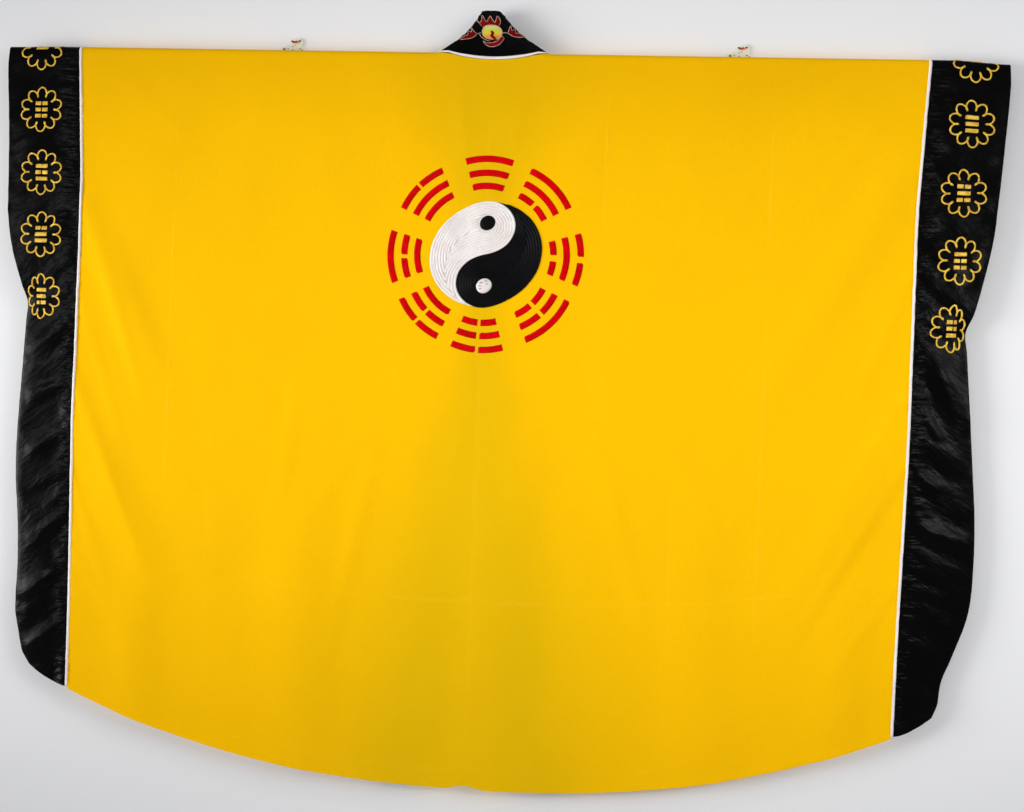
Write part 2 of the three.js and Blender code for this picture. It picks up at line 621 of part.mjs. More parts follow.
// A wall hook: a plate with a domed top and a knob, and an arm that ends in a shallow cup under the rod
function wallHook(x) {
  const inner = layer + clothWall / 2 + seamGap;
  const outer = inner + hook.cupWall;
  const lip = -Math.PI / 2 - hook.lipTurn;
  const lipMiddle = inner + hook.cupWall / 2;
  const arm = new THREE.Shape();
  const root = rod.fromWall - hook.plateWall / 3; // inside the plate
  arm.moveTo(root, hook.armTop);
  arm.lineTo(inner, hook.armTop);
  arm.absarc(0, 0, inner, 0, lip, true);
  arm.absarc(lipMiddle * Math.cos(lip), lipMiddle * Math.sin(lip), hook.cupWall / 2, lip + Math.PI, lip, true);
  arm.absarc(0, 0, outer, lip, -Math.PI / 2, false);
  arm.lineTo(root, -outer);
  const armSolid = new THREE.ExtrudeGeometry(arm, {
    depth: hook.cupWidth,
    bevelEnabled: false,
    curveSegments: 10,
  });
  armSolid.translate(0, 0, -hook.cupWidth / 2);
  armSolid.applyMatrix4(new THREE.Matrix4().set(0, 0, 1, x, 1, 0, 0, -rod.fromWall, 0, 1, 0, 0, 0, 0, 0, 1));
  const half = hook.plateWidth / 2;
  const corner = hook.plateCorner;
  const plate = new THREE.Shape();
  plate.absarc(half - corner, hook.plateTop - corner, corner, 0, Math.PI / 2, false);
  plate.absarc(corner - half, hook.plateTop - corner, corner, Math.PI / 2, Math.PI, false);
  plate.absarc(corner - half, hook.plateBottom + corner, corner, Math.PI, 1.5 * Math.PI, false);
  plate.absarc(half - corner, hook.plateBottom + corner, corner, 1.5 * Math.PI, 2 * Math.PI, false);
  const dome = new THREE.Shape().absellipse(0, hook.dome.z, half, hook.dome.rise, 0, 2 * Math.PI, false, 0);
  const knob = new THREE.Shape().absarc(hook.knob.aside, hook.knob.z, hook.knob.radius, 0, 2 * Math.PI, false);
  return fromSolid(
    [plate, dome, knob].reduce((whole, outline) => {
      const flat = new THREE.ExtrudeGeometry(outline, {
        depth: hook.plateWall,
        bevelEnabled: false,
        curveSegments: 8,
      });
      return whole.add(asSolid(flat.rotateX(Math.PI / 2).translate(x, 0, 0)));
    }, asSolid(armSolid)),
  );
}

const rodGeometry = new THREE.CylinderGeometry(rod.radius, rod.radius, 2 * rod.halfLength, rod.sides);
add("rod", rodGeometry.rotateZ(Math.PI / 2), "wood");
robe.getObjectByName("rod").position.y = -rod.fromWall;
for (const [side, name] of [[-1, "left"], [1, "right"]]) {
  add("body_back_" + name, bodyBack(side), "yellow");
  add("body_front_" + name, bodyFront(side), "yellow");
  add("cuff_back_" + name, satinBand(side, -1), "satin");
  add("cuff_front_" + name, satinBand(side, 1), "satin");
  add("collar_" + name, collarBand(side), "satin");
  add("piping_side_" + name, sidePiping(side), "white");
  add("piping_collar_" + name, collarPiping(side), "white");
  add("hook_" + name, wallHook(side * hookX[name]), "enamel");
}
addEmblem();
addTrigrams();

export default robe;
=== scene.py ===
import math

import bmesh
import bpy
from mathutils import Matrix, Vector, noise


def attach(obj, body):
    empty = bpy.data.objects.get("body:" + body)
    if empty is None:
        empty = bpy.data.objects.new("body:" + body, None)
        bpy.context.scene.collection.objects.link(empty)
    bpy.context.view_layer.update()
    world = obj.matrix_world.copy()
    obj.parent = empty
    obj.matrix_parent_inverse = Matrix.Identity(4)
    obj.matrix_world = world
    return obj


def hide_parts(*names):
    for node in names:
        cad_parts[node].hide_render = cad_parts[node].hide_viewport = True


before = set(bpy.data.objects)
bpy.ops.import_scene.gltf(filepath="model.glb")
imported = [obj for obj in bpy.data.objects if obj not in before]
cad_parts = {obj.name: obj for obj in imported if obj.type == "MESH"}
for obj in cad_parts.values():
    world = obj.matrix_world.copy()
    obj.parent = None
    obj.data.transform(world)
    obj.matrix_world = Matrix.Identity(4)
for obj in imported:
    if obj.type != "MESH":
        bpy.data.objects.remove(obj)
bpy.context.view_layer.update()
print("frame loaded")

# turns are in degrees and places in metres
view = {"lens": 50, "sensor": 36, "place": (0.3135, -2.557, -0.620),
        "yaw": -5.7518, "pitch": 0.0188, "roll": 2.298}


def makeCamera():
    yaw, pitch, roll = (math.radians(view[turn]) for turn in ("yaw", "pitch", "roll"))
    ahead = Vector((math.sin(yaw) * math.cos(pitch), math.cos(yaw) * math.cos(pitch), -math.sin(pitch)))
    level = ahead.cross(Vector((0, 0, 1))).normalized()
    upright = level.cross(ahead)
    right = math.cos(roll) * level + math.sin(roll) * upright
    up = -math.sin(roll) * level + math.cos(roll) * upright
    data = bpy.data.cameras.new("camera")
    data.lens, data.sensor_width = view["lens"], view["sensor"]
    camera = bpy.data.objects.new("camera", data)
    bpy.context.scene.collection.objects.link(camera)
    camera.matrix_world = Matrix((right, up, -ahead)).transposed().to_4x4()
    camera.location = view["place"]
    bpy.context.scene.camera = camera


makeCamera()
bpy.context.view_layer.update()
print("camera set")

# The pattern of the robe is in millimetres, from the rod's axis and the centre back seam.
# Each mesh is brought to metres as its last step.
cloth = {"layer": 9.3, "rodFromWall": 24, "thickness": 0.9, "seamGap": 0.3, "seamInset": 2.2, "sideHem": -1168,
         "dropLeft": 1.5, "dropRight": 6, "dropFrom": 800, "dropRun": 100, "dropFade": 300}
hem = {"lowest": -1309, "rise": 137, "at": 744, "power": 2.3, "notch": 7, "notchHalf": 40}
cuff = {"top": -430, "end": -475}
hook = {"left": 375, "right": 436, "cupWall": 3, "cupHalf": 11, "clothHalf": 0.8, "lipTurn": math.radians(20),
        "reach": 75, "settleOut": 90, "settleDown": 320, "plateFront": -3, "spotDepth": 0.7}

# z, then the distance from the centre back seam
sideSeam = [(10, 765), (-145, 757), (-260, 752), (-500, 752), (-720, 751), (-1000, 745.5), (-1168, 744)]
# z, left, right
cuffEdge = [
    (10, 900, 899), (-30, 902, 901), (-140, 896, 895), (-240, 893, 888), (-305, 891, 882), (-372, 879, 869),
    (-430, 860, 855), (-462, 850, 843), (-500, 852, 847), (-570, 855, 853), (-710, 861, 865), (-790, 860, 871),
    (-870, 853, 872), (-950, 850, 866), (-1030, 851, 840), (-1070, 844, 825), (-1110, 834, 820), (-1132, 821, 812),
]
collar = {"top": 84, "neckX": 99, "seamCentre": 2.4, "seamRise": 82, "pinch": 0.28, "level": 40, "lean": -7,
          "thickness": 1.9, "softEdge": 0.0007, "sewnGathers": (13, 1.4, 9), "foldGathers": (8, 0.5, 14),
          "soft": 1.3, "flatBelow": 60, "flatFade": 50}
layer = cloth["layer"]
foldShift = (math.pi / 2 - 1) * layer * math.sqrt(0.5)
crestZ = layer + cloth["seamGap"]
collarLow = crestZ + foldShift
collarHigh = collar["top"] + foldShift
foldSum = collar["neckX"] + collarLow + foldShift
bendHalf = math.pi / 2 * layer * math.sqrt(2)
bendStart = foldSum - collarLow - bendHalf
bendCrest = foldSum - collarLow
neckInner = foldSum - collarHigh
# z, then the inner edge of each front band
frontEdge = [
    (20, neckInner), (-60, neckInner), (-220, 11), (-420, 1.2), (-520, 0.15), (-640, 1.5), (-800, 14),
    (-1000, 44), (-1310, 98),
]
# Soft folds as x and z of their two ends, width and depth
backFolds = [
    (-770, -230, -560, -660, 52, 5), (-770, -600, -560, -1010, 60, 6), (-640, -900, -600, -1330, 70, 6),
    (-330, -760, -300, -1400, 95, 7), (40, -640, 60, -1420, 110, 5), (390, -800, 420, -1390, 90, 7),
    (775, -100, 470, -660, 60, 5), (775, -560, 540, -1000, 60, 6), (660, -880, 640, -1320, 66, 6),
]
frontFolds = [
    (-700, -300, -480, -900, 70, 6), (-560, -760, -560, -1400, 85, 7), (-300, -520, -280, -1420, 80, 6),
    (320, -600, 300, -1420, 84, 7), (520, -720, 560, -1380, 80, 6), (730, -240, 520, -820, 66, 6),
]
# Finer creases of the back, then of the front: a thin line that rises on one side of it
backCreases = [
    (-752, -255, -600, -690, 18, 3.2), (-768, -560, -590, -980, 16, 3.2), (-772, -870, -600, -1130, 8, 1.6),
    (-758, -420, -640, -760, 12, 2.2), (-764, -740, -650, -1050, 12, 1.8), (-330, -560, -370, -900, 22, 2.0),
    (-180, -660, -260, -1100, 24, 2.2), (200, -640, 330, -1080, 26, 2.4), (300, -600, 470, -900, 22, 2.0),
    (-300, -388, -196, -396, 7, 1.2), (770, -300, 650, -620, 18, 2.8), (780, -640, 540, -1060, 18, 3.0),
    (776, -520, 620, -800, 13, 2.2), (772, -860, 600, -1120, 12, 2.0),
    (640, -1170, 690, -1060, 7, 1.3), (560, -1235, 640, -1090, 6, 1.0), (180, -500, 330, -800, 18, 1.0),
    (-150, -560, -330, -900, 20, 1.0), (-60, -20, -40, -210, 16, 0.9), (55, -15, 45, -200, 15, 0.9),
    (-420, -1100, -380, -1360, 14, 1.1), (230, -1000, 260, -1330, 16, 1.0), (-700, -1060, -650, -1210, 10, 1.2),
    (740, -40, 560, -260, 14, 1.0), (-700, -30, -520, -190, 16, 0.8),
]
frontCreases = [
    (-740, -200, -560, -520, 14, 1.5), (-690, -640, -470, -960, 12, 1.4), (-610, -1010, -560, -1290, 12, 1.4),
    (-230, -420, -260, -820, 14, 1.1), (-420, -120, -300, -460, 18, 1.1), (-190, -880, -330, -1260, 12, 1.2),
    (250, -360, 300, -760, 14, 1.2), (470, -90, 330, -420, 18, 1.0), (745, -420, 590, -900, 13, 1.5),
    (700, -960, 620, -1240, 10, 1.3), (390, -900, 440, -1330, 12, 1.2), (-520, -20, -500, -260, 12, 0.9),
]


def clamp(t):
    return min(max(t, 0.0), 1.0)


def smooth(t):
    t = clamp(t)
    return t * t * (3 - 2 * t)


def blend(a, b, t):
    return a + (b - a) * t


# Reads a column of a table at z with a curve through its rows, which run downwards
def readTable(table, z, column=1):
    if z >= table[0][0]:
        return table[0][column]
    if z <= table[-1][0]:
        return table[-1][column]
    k = next(i for i, row in enumerate(table) if row[0] <= z)

    def slope(i):
        a, b = table[max(i - 1, 0)], table[min(i + 1, len(table) - 1)]
        return (b[column] - a[column]) / (b[0] - a[0])

    before, after = table[k - 1], table[k]
    step = after[0] - before[0]
    t = (z - before[0]) / step
    rise = after[column] - before[column]
    a, b = slope(k - 1) * step - rise, rise - slope(k) * step
    return before[column] + t * rise + t * (1 - t) * (a * (1 - t) + b * t)


def hemZ(x):
    x = abs(x)
    notch = hem["notch"] * (1 - smooth(x / hem["notchHalf"]))
    return hem["lowest"] + hem["rise"] * (x / hem["at"]) ** hem["power"] + notch


# How far the cloth stands out along its folds, and along its finer creases
def swell(folds, creases, x, z):
    total = 0.0
    for x1, z1, x2, z2, width, depth in folds + creases:
        dx, dz = x2 - x1, z2 - z1
        length = math.hypot(dx, dz)
        share = ((x - x1) * dx + (z - z1) * dz) / length**2
        if not 0 < share < 1:
            continue
        off = ((x - x1) * dz - (z - z1) * dx) / length / width
        if abs(off) < 1:
            total += depth * math.cos(off * math.pi / 2) ** 2 * math.sin(share * math.pi) ** 0.8
    return total


# The sleeve ends hang a little lower than the rod
def sleeveDrop(side, x):
    return cloth["dropLeft" if side < 0 else "dropRight"] * smooth((x - cloth["dropFrom"]) / cloth["dropRun"])


def cuffAt(side, z):
    return readTable(cuffEdge, z, 1 if side < 0 else 2)


# A point of a layer that hangs below the rod. side -1 is left, face -1 the back, x the distance from the centre
def hanging(side, face, x, z):
    seam, edge = readTable(sideSeam, z), cuffAt(side, z)
    out = clamp((x - seam) / (edge - seam))
    closed = smooth((cuff["top"] - z) / (cuff["top"] - cuff["end"]))
    sewn = cloth["thickness"] / 2
    joined = sewn + (layer - sewn) * math.sqrt(1 - out**2 * (2 - out))
    flat = blend(layer, joined, closed)
    lines = (backFolds, backCreases) if face < 0 else (frontFolds, frontCreases)
    fold = swell(*lines, side * x, z) * (1 - smooth(out * 1.2))
    drop = sleeveDrop(side, x) * (1 - smooth(-z / cloth["dropFade"]))
    return Vector((side * x, face * (flat + fold * smooth(-z / 60)) - cloth["rodFromWall"], z - drop))


# A point of a layer over the rod. share 0 is the ridge and 1 is level with the rod's axis
def overRod(side, face, x, share, topY=0.0, topZ=layer):
    angle = share * math.pi / 2
    y = topY + (layer - topY) * math.sin(angle)
    return Vector((side * x, face * y - cloth["rodFromWall"], topZ * math.cos(angle) - sleeveDrop(side, x)))


def rowZ(x, drop):
    return -drop + (hemZ(x) - cloth["sideHem"]) * (drop / -cloth["sideHem"]) ** 2


# Where the wall-side layer is pressed between the rod and a hook's cup, as a shift from its plain way
def dent(side, x, drop):
    off = abs(x - hook["left" if side < 0 else "right"])
    weight = 1 - smooth((off - hook["cupHalf"]) / (hook["reach"] - hook["cupHalf"]))
    if weight <= 0 or drop <= 0:
        return Vector((0, 0, 0))
    lipTurn, lipRadius = hook["lipTurn"], hook["clothHalf"] + cloth["seamGap"] + hook["cupWall"] / 2
    cupMiddle = layer + lipRadius
    underRod = layer * (math.pi / 2 + lipTurn)
    lipY, lipZ = -cupMiddle * math.sin(lipTurn), -cupMiddle * math.cos(lipTurn)
    roundLip = underRod + lipRadius * (math.pi / 2 + lipTurn)
    y, z = layer * math.cos(drop / layer), -layer * math.sin(drop / layer)
    if drop > underRod:
        angle = math.pi / 2 - lipTurn + min((drop - underRod) / lipRadius, math.pi / 2 + lipTurn)
        y, z = lipY + lipRadius * math.cos(angle), lipZ + lipRadius * math.sin(angle)
    past = max(drop - roundLip, 0)
    left = lipZ + roundLip if drop > roundLip else z + drop
    return Vector((0, weight * (y - layer) * (1 - smooth(past / hook["settleOut"])),
                   weight * left * (1 - smooth(past / hook["settleDown"]))))


# The collar: a straight band folded at 45 degrees at the neck. along runs from the centre back, up from its sewn edge
def standing(z):
    return clamp((z - crestZ) / (collar["top"] - crestZ))


def pinchAt(z):
    return 1 - collar["pinch"] * math.sin(standing(z) * math.pi / 1.6) ** 1.2


def seamLow(along):
    return blend(collar["seamCentre"], collarLow, min(along / collar["seamRise"], 1) ** 2)


def collarPoint(side, along, up):
    low = seamLow(along)
    flatZ = low + up * (collarHigh - low) / (collarHigh - collarLow)
    past = (along + flatZ - foldSum) * math.sqrt(0.5)
    half = math.pi / 2 * layer
    q, y = past, -layer
    if past > half:
        q, y = -past, layer
    elif past > -half:
        angle = (past + half) / layer
        q, y = -half + layer * math.sin(angle), -layer * math.cos(angle)
    x = (foldSum + q * math.sqrt(2) + along - flatZ) / 2
    z = (foldSum + q * math.sqrt(2) - along + flatZ) / 2
    if past < 0:  # the top edge runs level across the back to the fold's crest
        z -= (foldShift + (q - past) * math.sqrt(0.5)) * smooth(1 - (collarHigh - flatZ) / collar["level"])
    x *= pinchAt(z)
    lean = collar["lean"] * standing(z) ** 1.4
    reach = math.hypot(y, z)
    if reach < crestZ and z > -layer and abs(y) < layer:
        y, z = min(y * crestZ / reach, layer), z * crestZ / reach
    if y > 0 and z < 0:
        x += readTable(frontEdge, z) - neckInner
    return Vector((side * x + lean, y - cloth["rodFromWall"], z))


neckStep = 6.2


# The line that the yellow cloth is sewn to round the neck and down the front; share 0 is the collar's own edge
def neckEdge(side, along, share=1.0):
    turn = smooth((along - bendStart) / bendHalf) * math.pi / 2
    step = Vector((side * math.sin(turn), 0, -math.cos(turn)))
    return collarPoint(side, along, 0) + step * neckStep * share


# Where along the collar's sewn edge the neck line reaches a value of x or z
def alongAt(axis, value, low, high):
    rises = neckEdge(1, high)[axis] > neckEdge(1, low)[axis]
    for _ in range(30):
        middle = (low + high) / 2
        if (neckEdge(1, middle)[axis] < value) == rises:
            low = middle
        else:
            high = middle
    return low


crestX = neckEdge(1, bendCrest).x
seamTop = readTable(sideSeam, 0)


def innerX(z):
    return neckEdge(1, alongAt(2, z, bendCrest, foldSum - hem["lowest"] + 40)).x


def newPiece(name, bm, finish, nodes=(), normals=True):
    if normals:
        bmesh.ops.remove_doubles(bm, verts=bm.verts, dist=0.01)
        bmesh.ops.recalc_face_normals(bm, faces=bm.faces)
    bmesh.ops.scale(bm, vec=(0.001, 0.001, 0.001), verts=bm.verts)
    for face in bm.faces:
        face.smooth = True
    for edge in bm.edges:
        edge.smooth = not edge.is_boundary
    mesh = bpy.data.meshes.new(name)
    bm.to_mesh(mesh)
    bm.free()
    piece = bpy.data.objects.new(name, mesh)
    bpy.context.scene.collection.objects.link(piece)
    mesh.materials.append(finish)
    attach(piece, "root")
    if nodes:
        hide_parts(*nodes)
    print("made", name, len(mesh.polygons), "faces")
    return piece


# Adds a grid whose points come from place(column, row), with a UV map in metres from flat(column, row)
def addGrid(bm, columns, rows, place, flat=None):
    uv = bm.loops.layers.uv.verify()
    made = bmesh.ops.create_grid(bm, x_segments=columns, y_segments=rows, size=1)["verts"]
    spots = {}
    for vert in made:
        spot = (round((vert.co.x + 1) / 2 * columns), round((vert.co.y + 1) / 2 * rows))
        spots[vert] = spot
    for face in {f for vert in made for f in vert.link_faces}:
        for loop in face.loops:
            column, row = spots[loop.vert]
            u, v = flat(column, row) if flat else (column, row)
            loop[uv].uv = (u, v)
    for vert, (column, row) in spots.items():
        vert.co = place(column, row)
    return made


# Gives a sheet its thickness, half to each side
def thicken(piece, thickness):
    wall = piece.modifiers.new("thickness", "SOLIDIFY")
    wall.thickness, wall.offset, wall.use_even_offset = thickness / 1000, 0, False
    return piece


# Adds a cord that lies along a line. Each stop is a point, the way across it and the way out of the cloth
def addCord(bm, stops, width, height, sides=6, lift=0.0, closed=False, taper=2, twist=0.0):
    uv = bm.loops.layers.uv.verify()
    count = len(stops) - (0 if closed else 1)
    run = [0.0]
    for i in range(count):
        run.append(run[-1] + (stops[(i + 1) % len(stops)][0] - stops[i][0]).length)

    def place(column, row):
        point, across, out = stops[row % len(stops)]
        size = 1.0
        if not closed and taper:
            size = math.sqrt(clamp((min(row, count - row) + 0.02) / taper))
        angle = column / sides * 2 * math.pi + math.pi
        wave = 1 + twist * math.sin(run[row] * 1.9)
        return (point + across * (math.cos(angle) * width / 2 * size * wave)
                + out * (lift + height / 2 + math.sin(angle) * height / 2 * size))

    addGrid(bm, sides, count, place, lambda column, row: (run[row] / 1000, column / sides))


def unit(vector):
    return vector.normalized() if vector.length > 1e-9 else Vector((0, 0, 1))


# A surface that things are sewn to: turns a flat place on it into a point and its way out
def spot(surface, u, v, outward, step=0.6):
    point = surface(u, v)
    across = surface(u + step, v) - surface(u - step, v)
    down = surface(u, v + step) - surface(u, v - step)
    out = unit(across.cross(down))
    return point, -out if out.dot(outward(point)) < 0 else out


# Lays a flat line of (u, v) on a surface as stops for addCord
def layLine(surface, line, outward, closed=False):
    found = [spot(surface, u, v, outward) for u, v in line]
    stops = []
    for i, (point, out) in enumerate(found):
        before = found[i - 1][0] if i or closed else point
        after = found[(i + 1) % len(found)][0] if i + 1 < len(found) or closed else point
        stops.append((point, unit(out.cross(after - before)), out))
    return stops


arc = math.pi / 2 * layer


def wave(a, b, seed):
    return noise.noise(Vector((a, b, seed)))


# Small gathers that run out from a seam
def pucker(distance, run, reach, size, pitch, seed):
    if distance > reach * 3:
        return 0.0
    waves = wave(distance / 26, run / pitch, seed) + 0.5 * wave(distance / 12, run / pitch * 2.1, seed + 7)
    return size * math.exp(-max(distance, 0) / reach) * waves


# Long soft folds of the satin, on the front and then on the back
satinFolds = (
    [(-768, -520, -846, -600, 26, 3.0), (-770, -880, -840, -960, 24, 3.2), (765, -480, 850, -560, 28, 3.2),
     (760, -760, 862, -820, 26, 3.0), (758, -1010, 830, -1050, 22, 2.6)],
    [(-772, -300, -850, -360, 24, 2.4), (-768, -505, -845, -560, 26, 3.2), (-764, -610, -846, -640, 18, 2.6),
     (-765, -700, -840, -742, 16, 2.2), (-763, -858, -812, -884, 9, 1.7), (-764, -958, -850, -1008, 20, 3.4),
     (-762, -1050, -838, -1110, 16, 2.2), (770, -150, 842, -215, 20, 2.4), (772, -300, 838, -380, 24, 2.8),
     (768, -470, 858, -640, 34, 4.2), (762, -590, 815, -655, 12, 2.2), (762, -706, 812, -742, 12, 2.4),
     (760, -800, 868, -834, 22, 3.6), (758, -905, 832, -930, 12, 2.6), (756, -1000, 800, -1015, 10, 1.8)],
)


# Reach, size and pitch of the gathers at each edge, and how strong the long folds and the facets between them are
satinWaves = {"seam": (26, 2.8, 10), "edge": (12, 1.3, 19), "hem": (12, 1.2, 16), "ripple": 1.7, "folds": 1.35,
              "slant": 0.55, "facets": 2.8, "smallFacets": 1.3}


def satinRelief(side, face, x, z):
    seam, edge = readTable(sideSeam, z), cuffAt(side, z)
    out, seed = x - seam, 20 + 3 * side + face
    gather = pucker(out, z, *satinWaves["seam"], seed) + pucker(edge - x, z, *satinWaves["edge"], seed + 1)
    gather += pucker(z - cloth["sideHem"], x, *satinWaves["hem"], seed + 2)
    near = math.exp(-max(out, 0) / 34) * smooth(out / 6)
    gather += wave(out / 60, (z + out * 0.45) / 9, seed + 4) * satinWaves["ripple"] * near
    gather += satinWaves["folds"] * swell(satinFolds[face < 0], [], side * x, z)
    share, slant = clamp(out / (edge - seam)), z + out * satinWaves["slant"]
    broad = wave(x / 90, slant / 40, seed * 1.7) * satinWaves["facets"]
    broad += wave(x / 46, slant / 20, seed) * satinWaves["smallFacets"]
    return (gather + broad * smooth(share * 3) * smooth((1 - share) * 4)) * smooth(-z / 30)


# Low waves that run all over the yellow cloth
def yellowRelief(side, face, x, z):
    seed = 3 + 5 * face
    low = wave(side * x / 120, z / 210, seed * 3.1) * 2.0 + wave(side * x / 47, z / 90, seed * 5.3) * 0.7
    return low * smooth(-z / 120)


# The satin and the yellow cloth by the length of cloth from the ridge: down the back above 0, down the front below 0
def clothAt(side, x, length):
    face = -1 if length >= 0 else 1
    reach = abs(length)
    if reach < arc:
        return overRod(side, face, x, reach / arc)
    point = hanging(side, face, x, arc - reach)
    point.y += face * satinRelief(side, face, x, arc - reach)
    return point


def awayFromRod(point):
    if point.z > 0:
        return Vector((0, point.y + cloth["rodFromWall"], point.z))
    return Vector((0, point.y + cloth["rodFromWall"], 0))


def backAt(u, v):
    side = -1 if u < 0 else 1
    point = hanging(side, -1, abs(u), v)
    point.y -= yellowRelief(side, -1, abs(u), v)
    return point


def towardsRoom(point):
    return Vector((0, -1, 0))


class Wire:
    def __init__(self, finish, socket):
        self.finish, self.socket = finish, socket

    def maths(self, operation, *others):
        sockets = dict(enumerate((self, *others)))
        return self.finish.add("ShaderNodeMath", {"operation": operation}, sockets)

    def __add__(self, other):
        return self.maths("ADD", other)

    def __sub__(self, other):
        return self.maths("SUBTRACT", other)

    def __rsub__(self, other):
        return self.maths("MULTIPLY_ADD", -1, other)

    def __mul__(self, other):
        return self.maths("MULTIPLY", other)

    def __truediv__(self, other):
        return self.maths("DIVIDE", other)

    __radd__, __rmul__ = __add__, __mul__

    def size(self):
        return self.maths("ABSOLUTE")

    def sine(self):
        return self.maths("SINE")

    def most(self, other):
        return self.maths("MAXIMUM", other)

    # 0 below low and 1 above high, or the other way round where low is above high
    def between(self, low, high):
        flip = low > high
        settings = {"interpolation_type": "SMOOTHSTEP"}
        ends = {"From Min": min(low, high), "From Max": max(low, high),
                "To Min": float(flip), "To Max": float(not flip)}
        return self.finish.add("ShaderNodeMapRange", settings, {"Value": self, **ends})


class Finish:
    def __init__(self, name, **constants):
        self.material = bpy.data.materials.new(name)
        self.material.use_nodes = True
        self.tree = self.material.node_tree
        self.shader = self.tree.nodes["Principled BSDF"]
        for socket, value in constants.items():
            self.shader.inputs[socket.replace("_", " ")].default_value = value

    # The one way that a node is made: its type, its settings, then the values or wires of its sockets
    def add(self, kind, settings=None, sockets=None, out=0):
        node = self.tree.nodes.new(kind)
        for name, value in (settings or {}).items():
            if name == "stops":
                ramp = node.color_ramp.elements
                while len(ramp) < len(value):
                    ramp.new(0.5)
                for element, (place, colour) in zip(ramp, value):
                    element.position, element.color = place, (*colour, 1)
            else:
                setattr(node, name, value)
        for name, value in (sockets or {}).items():
            if isinstance(value, Wire):
                self.tree.links.new(value.socket, node.inputs[name])
            else:
                node.inputs[name].default_value = value
        return Wire(self, node.outputs[out])

    def place(self, kind="Object"):
        return self.add("ShaderNodeTexCoord", out=kind)

    def parts(self, place):
        return [self.add("ShaderNodeSeparateXYZ", {}, {0: place}, out=axis) for axis in "XYZ"]

    def noise(self, place, scale, detail=2.0, roughness=0.5, stretch=(1, 1, 1)):
        if stretch != (1, 1, 1):
            place = self.add("ShaderNodeMapping", {}, {"Vector": place, "Scale": stretch})
        sockets = {"Vector": place, "Scale": scale, "Detail": detail, "Roughness": roughness}
        return self.add("ShaderNodeTexNoise", {}, sockets)

    def ramp(self, factor, *stops):
        return self.add("ShaderNodeValToRGB", {"stops": stops}, {0: factor})

    # Colour a where the factor is 0 and b where it is 1
    def mix(self, factor, a, b):
        colours = {6: (*a, 1) if isinstance(a, tuple) else a, 7: (*b, 1) if isinstance(b, tuple) else b}
        return self.add("ShaderNodeMix", {"data_type": "RGBA"}, {0: factor, **colours}, out=2)

    def bump(self, height, distance, strength=1.0):
        return self.add("ShaderNodeBump", {}, {"Height": height, "Distance": distance, "Strength": strength})

    def wear(self, **wires):
        for name, wire in wires.items():
            self.tree.links.new(wire.socket, self.shader.inputs[name.replace("_", " ")])
        return self.material


def yellowFinish():
    # the first tone is the cloth's yellow; the second a darker copy for painted shade at the shoulders and for random
    # mottle and slubs; the third painted shade behind the front bands; the last a painted highlight along the creases
    tones = {"lit": (0.98, 0.525, 0.001), "deep": (0.70, 0.365, 0.001), "bandShade": (0.80, 0.478, 0.002),
             "pale": (1.0, 0.62, 0.03)}
    finish = Finish("yellowCloth", Roughness=0.9, Specular_IOR_Level=0.03)
    flat = finish.place("UV")
    across, down, _ = finish.parts(flat)
    isBack = down.between(0.006, -0.006)
    depth = (down * -1).most(0)
    # painted shade: the black front bands behind the thin cloth keep light from showing through it, so the back is
    # painted darker in two lobes that meet under the emblem and part to the hem
    drift = finish.noise(flat, 5.5, 2) - 0.5
    reach = across.size() + drift * 0.07
    half = 0.115 * depth.between(0.34, 0.0) + 0.03 + 0.2 * depth.between(0.40, 1.15)
    body = (reach / half).between(1.9, 0.1)
    lobe = (reach - 0.145 * depth.between(0.5, 1.32)).size().between(0.11, 0.0) * depth.between(0.6, 1.1)
    bandShade = (body * 0.85 + lobe * 0.3) * isBack
    # painted shade: the back is painted darker towards the shoulder line at its top; the mottle added to it is random
    # tone
    shoulderShade = depth.between(0.2, 0.0) * 0.25
    mottle = finish.noise(flat, 3.2, 3, 0.55)
    shade = shoulderShade + (mottle - 0.5) * 0.4
    # mixes the painted shade of the front bands into the cloth's yellow
    colour = finish.mix(bandShade, tones["lit"], tones["bandShade"])
    colour = finish.mix(shade, colour, tones["deep"])
    # lines that were pressed in when it lay folded, and the centre seam: place, start, end and strength
    upright = ((0.0, -0.012, -1.25, 0.8), (-0.572, -0.05, -0.9, 1.0), (-0.49, -0.6, -1.2, 0.7),
               (-0.185, -0.03, -0.30, 0.8), (0.212, -0.03, -0.62, 0.9), (0.502, -0.02, -1.05, 1.0),
               (0.35, -0.7, -1.2, 0.6))
    level = ((-0.905, -0.5, 0.62, 0.8), (-1.155, -0.55, 0.55, 0.7))
    thin, creases = (0.004, 0.0006), None
    wander = 0.002 * finish.noise(flat, 9.0)
    for x, top, low, strength in upright:
        run = down.between(top, top - 0.05) * down.between(low, low + 0.2)
        line = (across - x + wander).size().between(*thin) * run * strength
        creases = creases + line if creases else line
    wander = 0.003 * finish.noise(flat, 7.0)
    for z, left, right, strength in level:
        run = across.between(left, left + 0.1) * across.between(right, right - 0.1)
        creases = creases + (down - z + wander).size().between(*thin) * run * strength
    creaseBreaks = finish.noise(flat, 45, 2, 0.6, stretch=(1, 0.4, 1))
    creases = creases * creaseBreaks.between(0.3, 0.7)
    # painted highlight: the pressed creases and the centre seam are painted paler along their lines, broken up by
    # noise
    colour = finish.mix(creases * 0.16, colour, tones["pale"])
    slub = finish.noise(flat, 420, 1, stretch=(1, 0.12, 1)) + finish.noise(flat, 420, 1, stretch=(0.12, 1, 1))
    colour = finish.mix((slub - 0.72) * 0.2, colour, tones["deep"])
    weave = (across * 7500).sine() * (down * 7500).sine()
    height = weave * 0.000015 + creases * 0.00035 + slub * 0.00008 + finish.noise(flat, 16, 3) * 0.0008
    return finish.wear(Base_Color=colour, Normal=finish.bump(height, 1.0, 0.7))


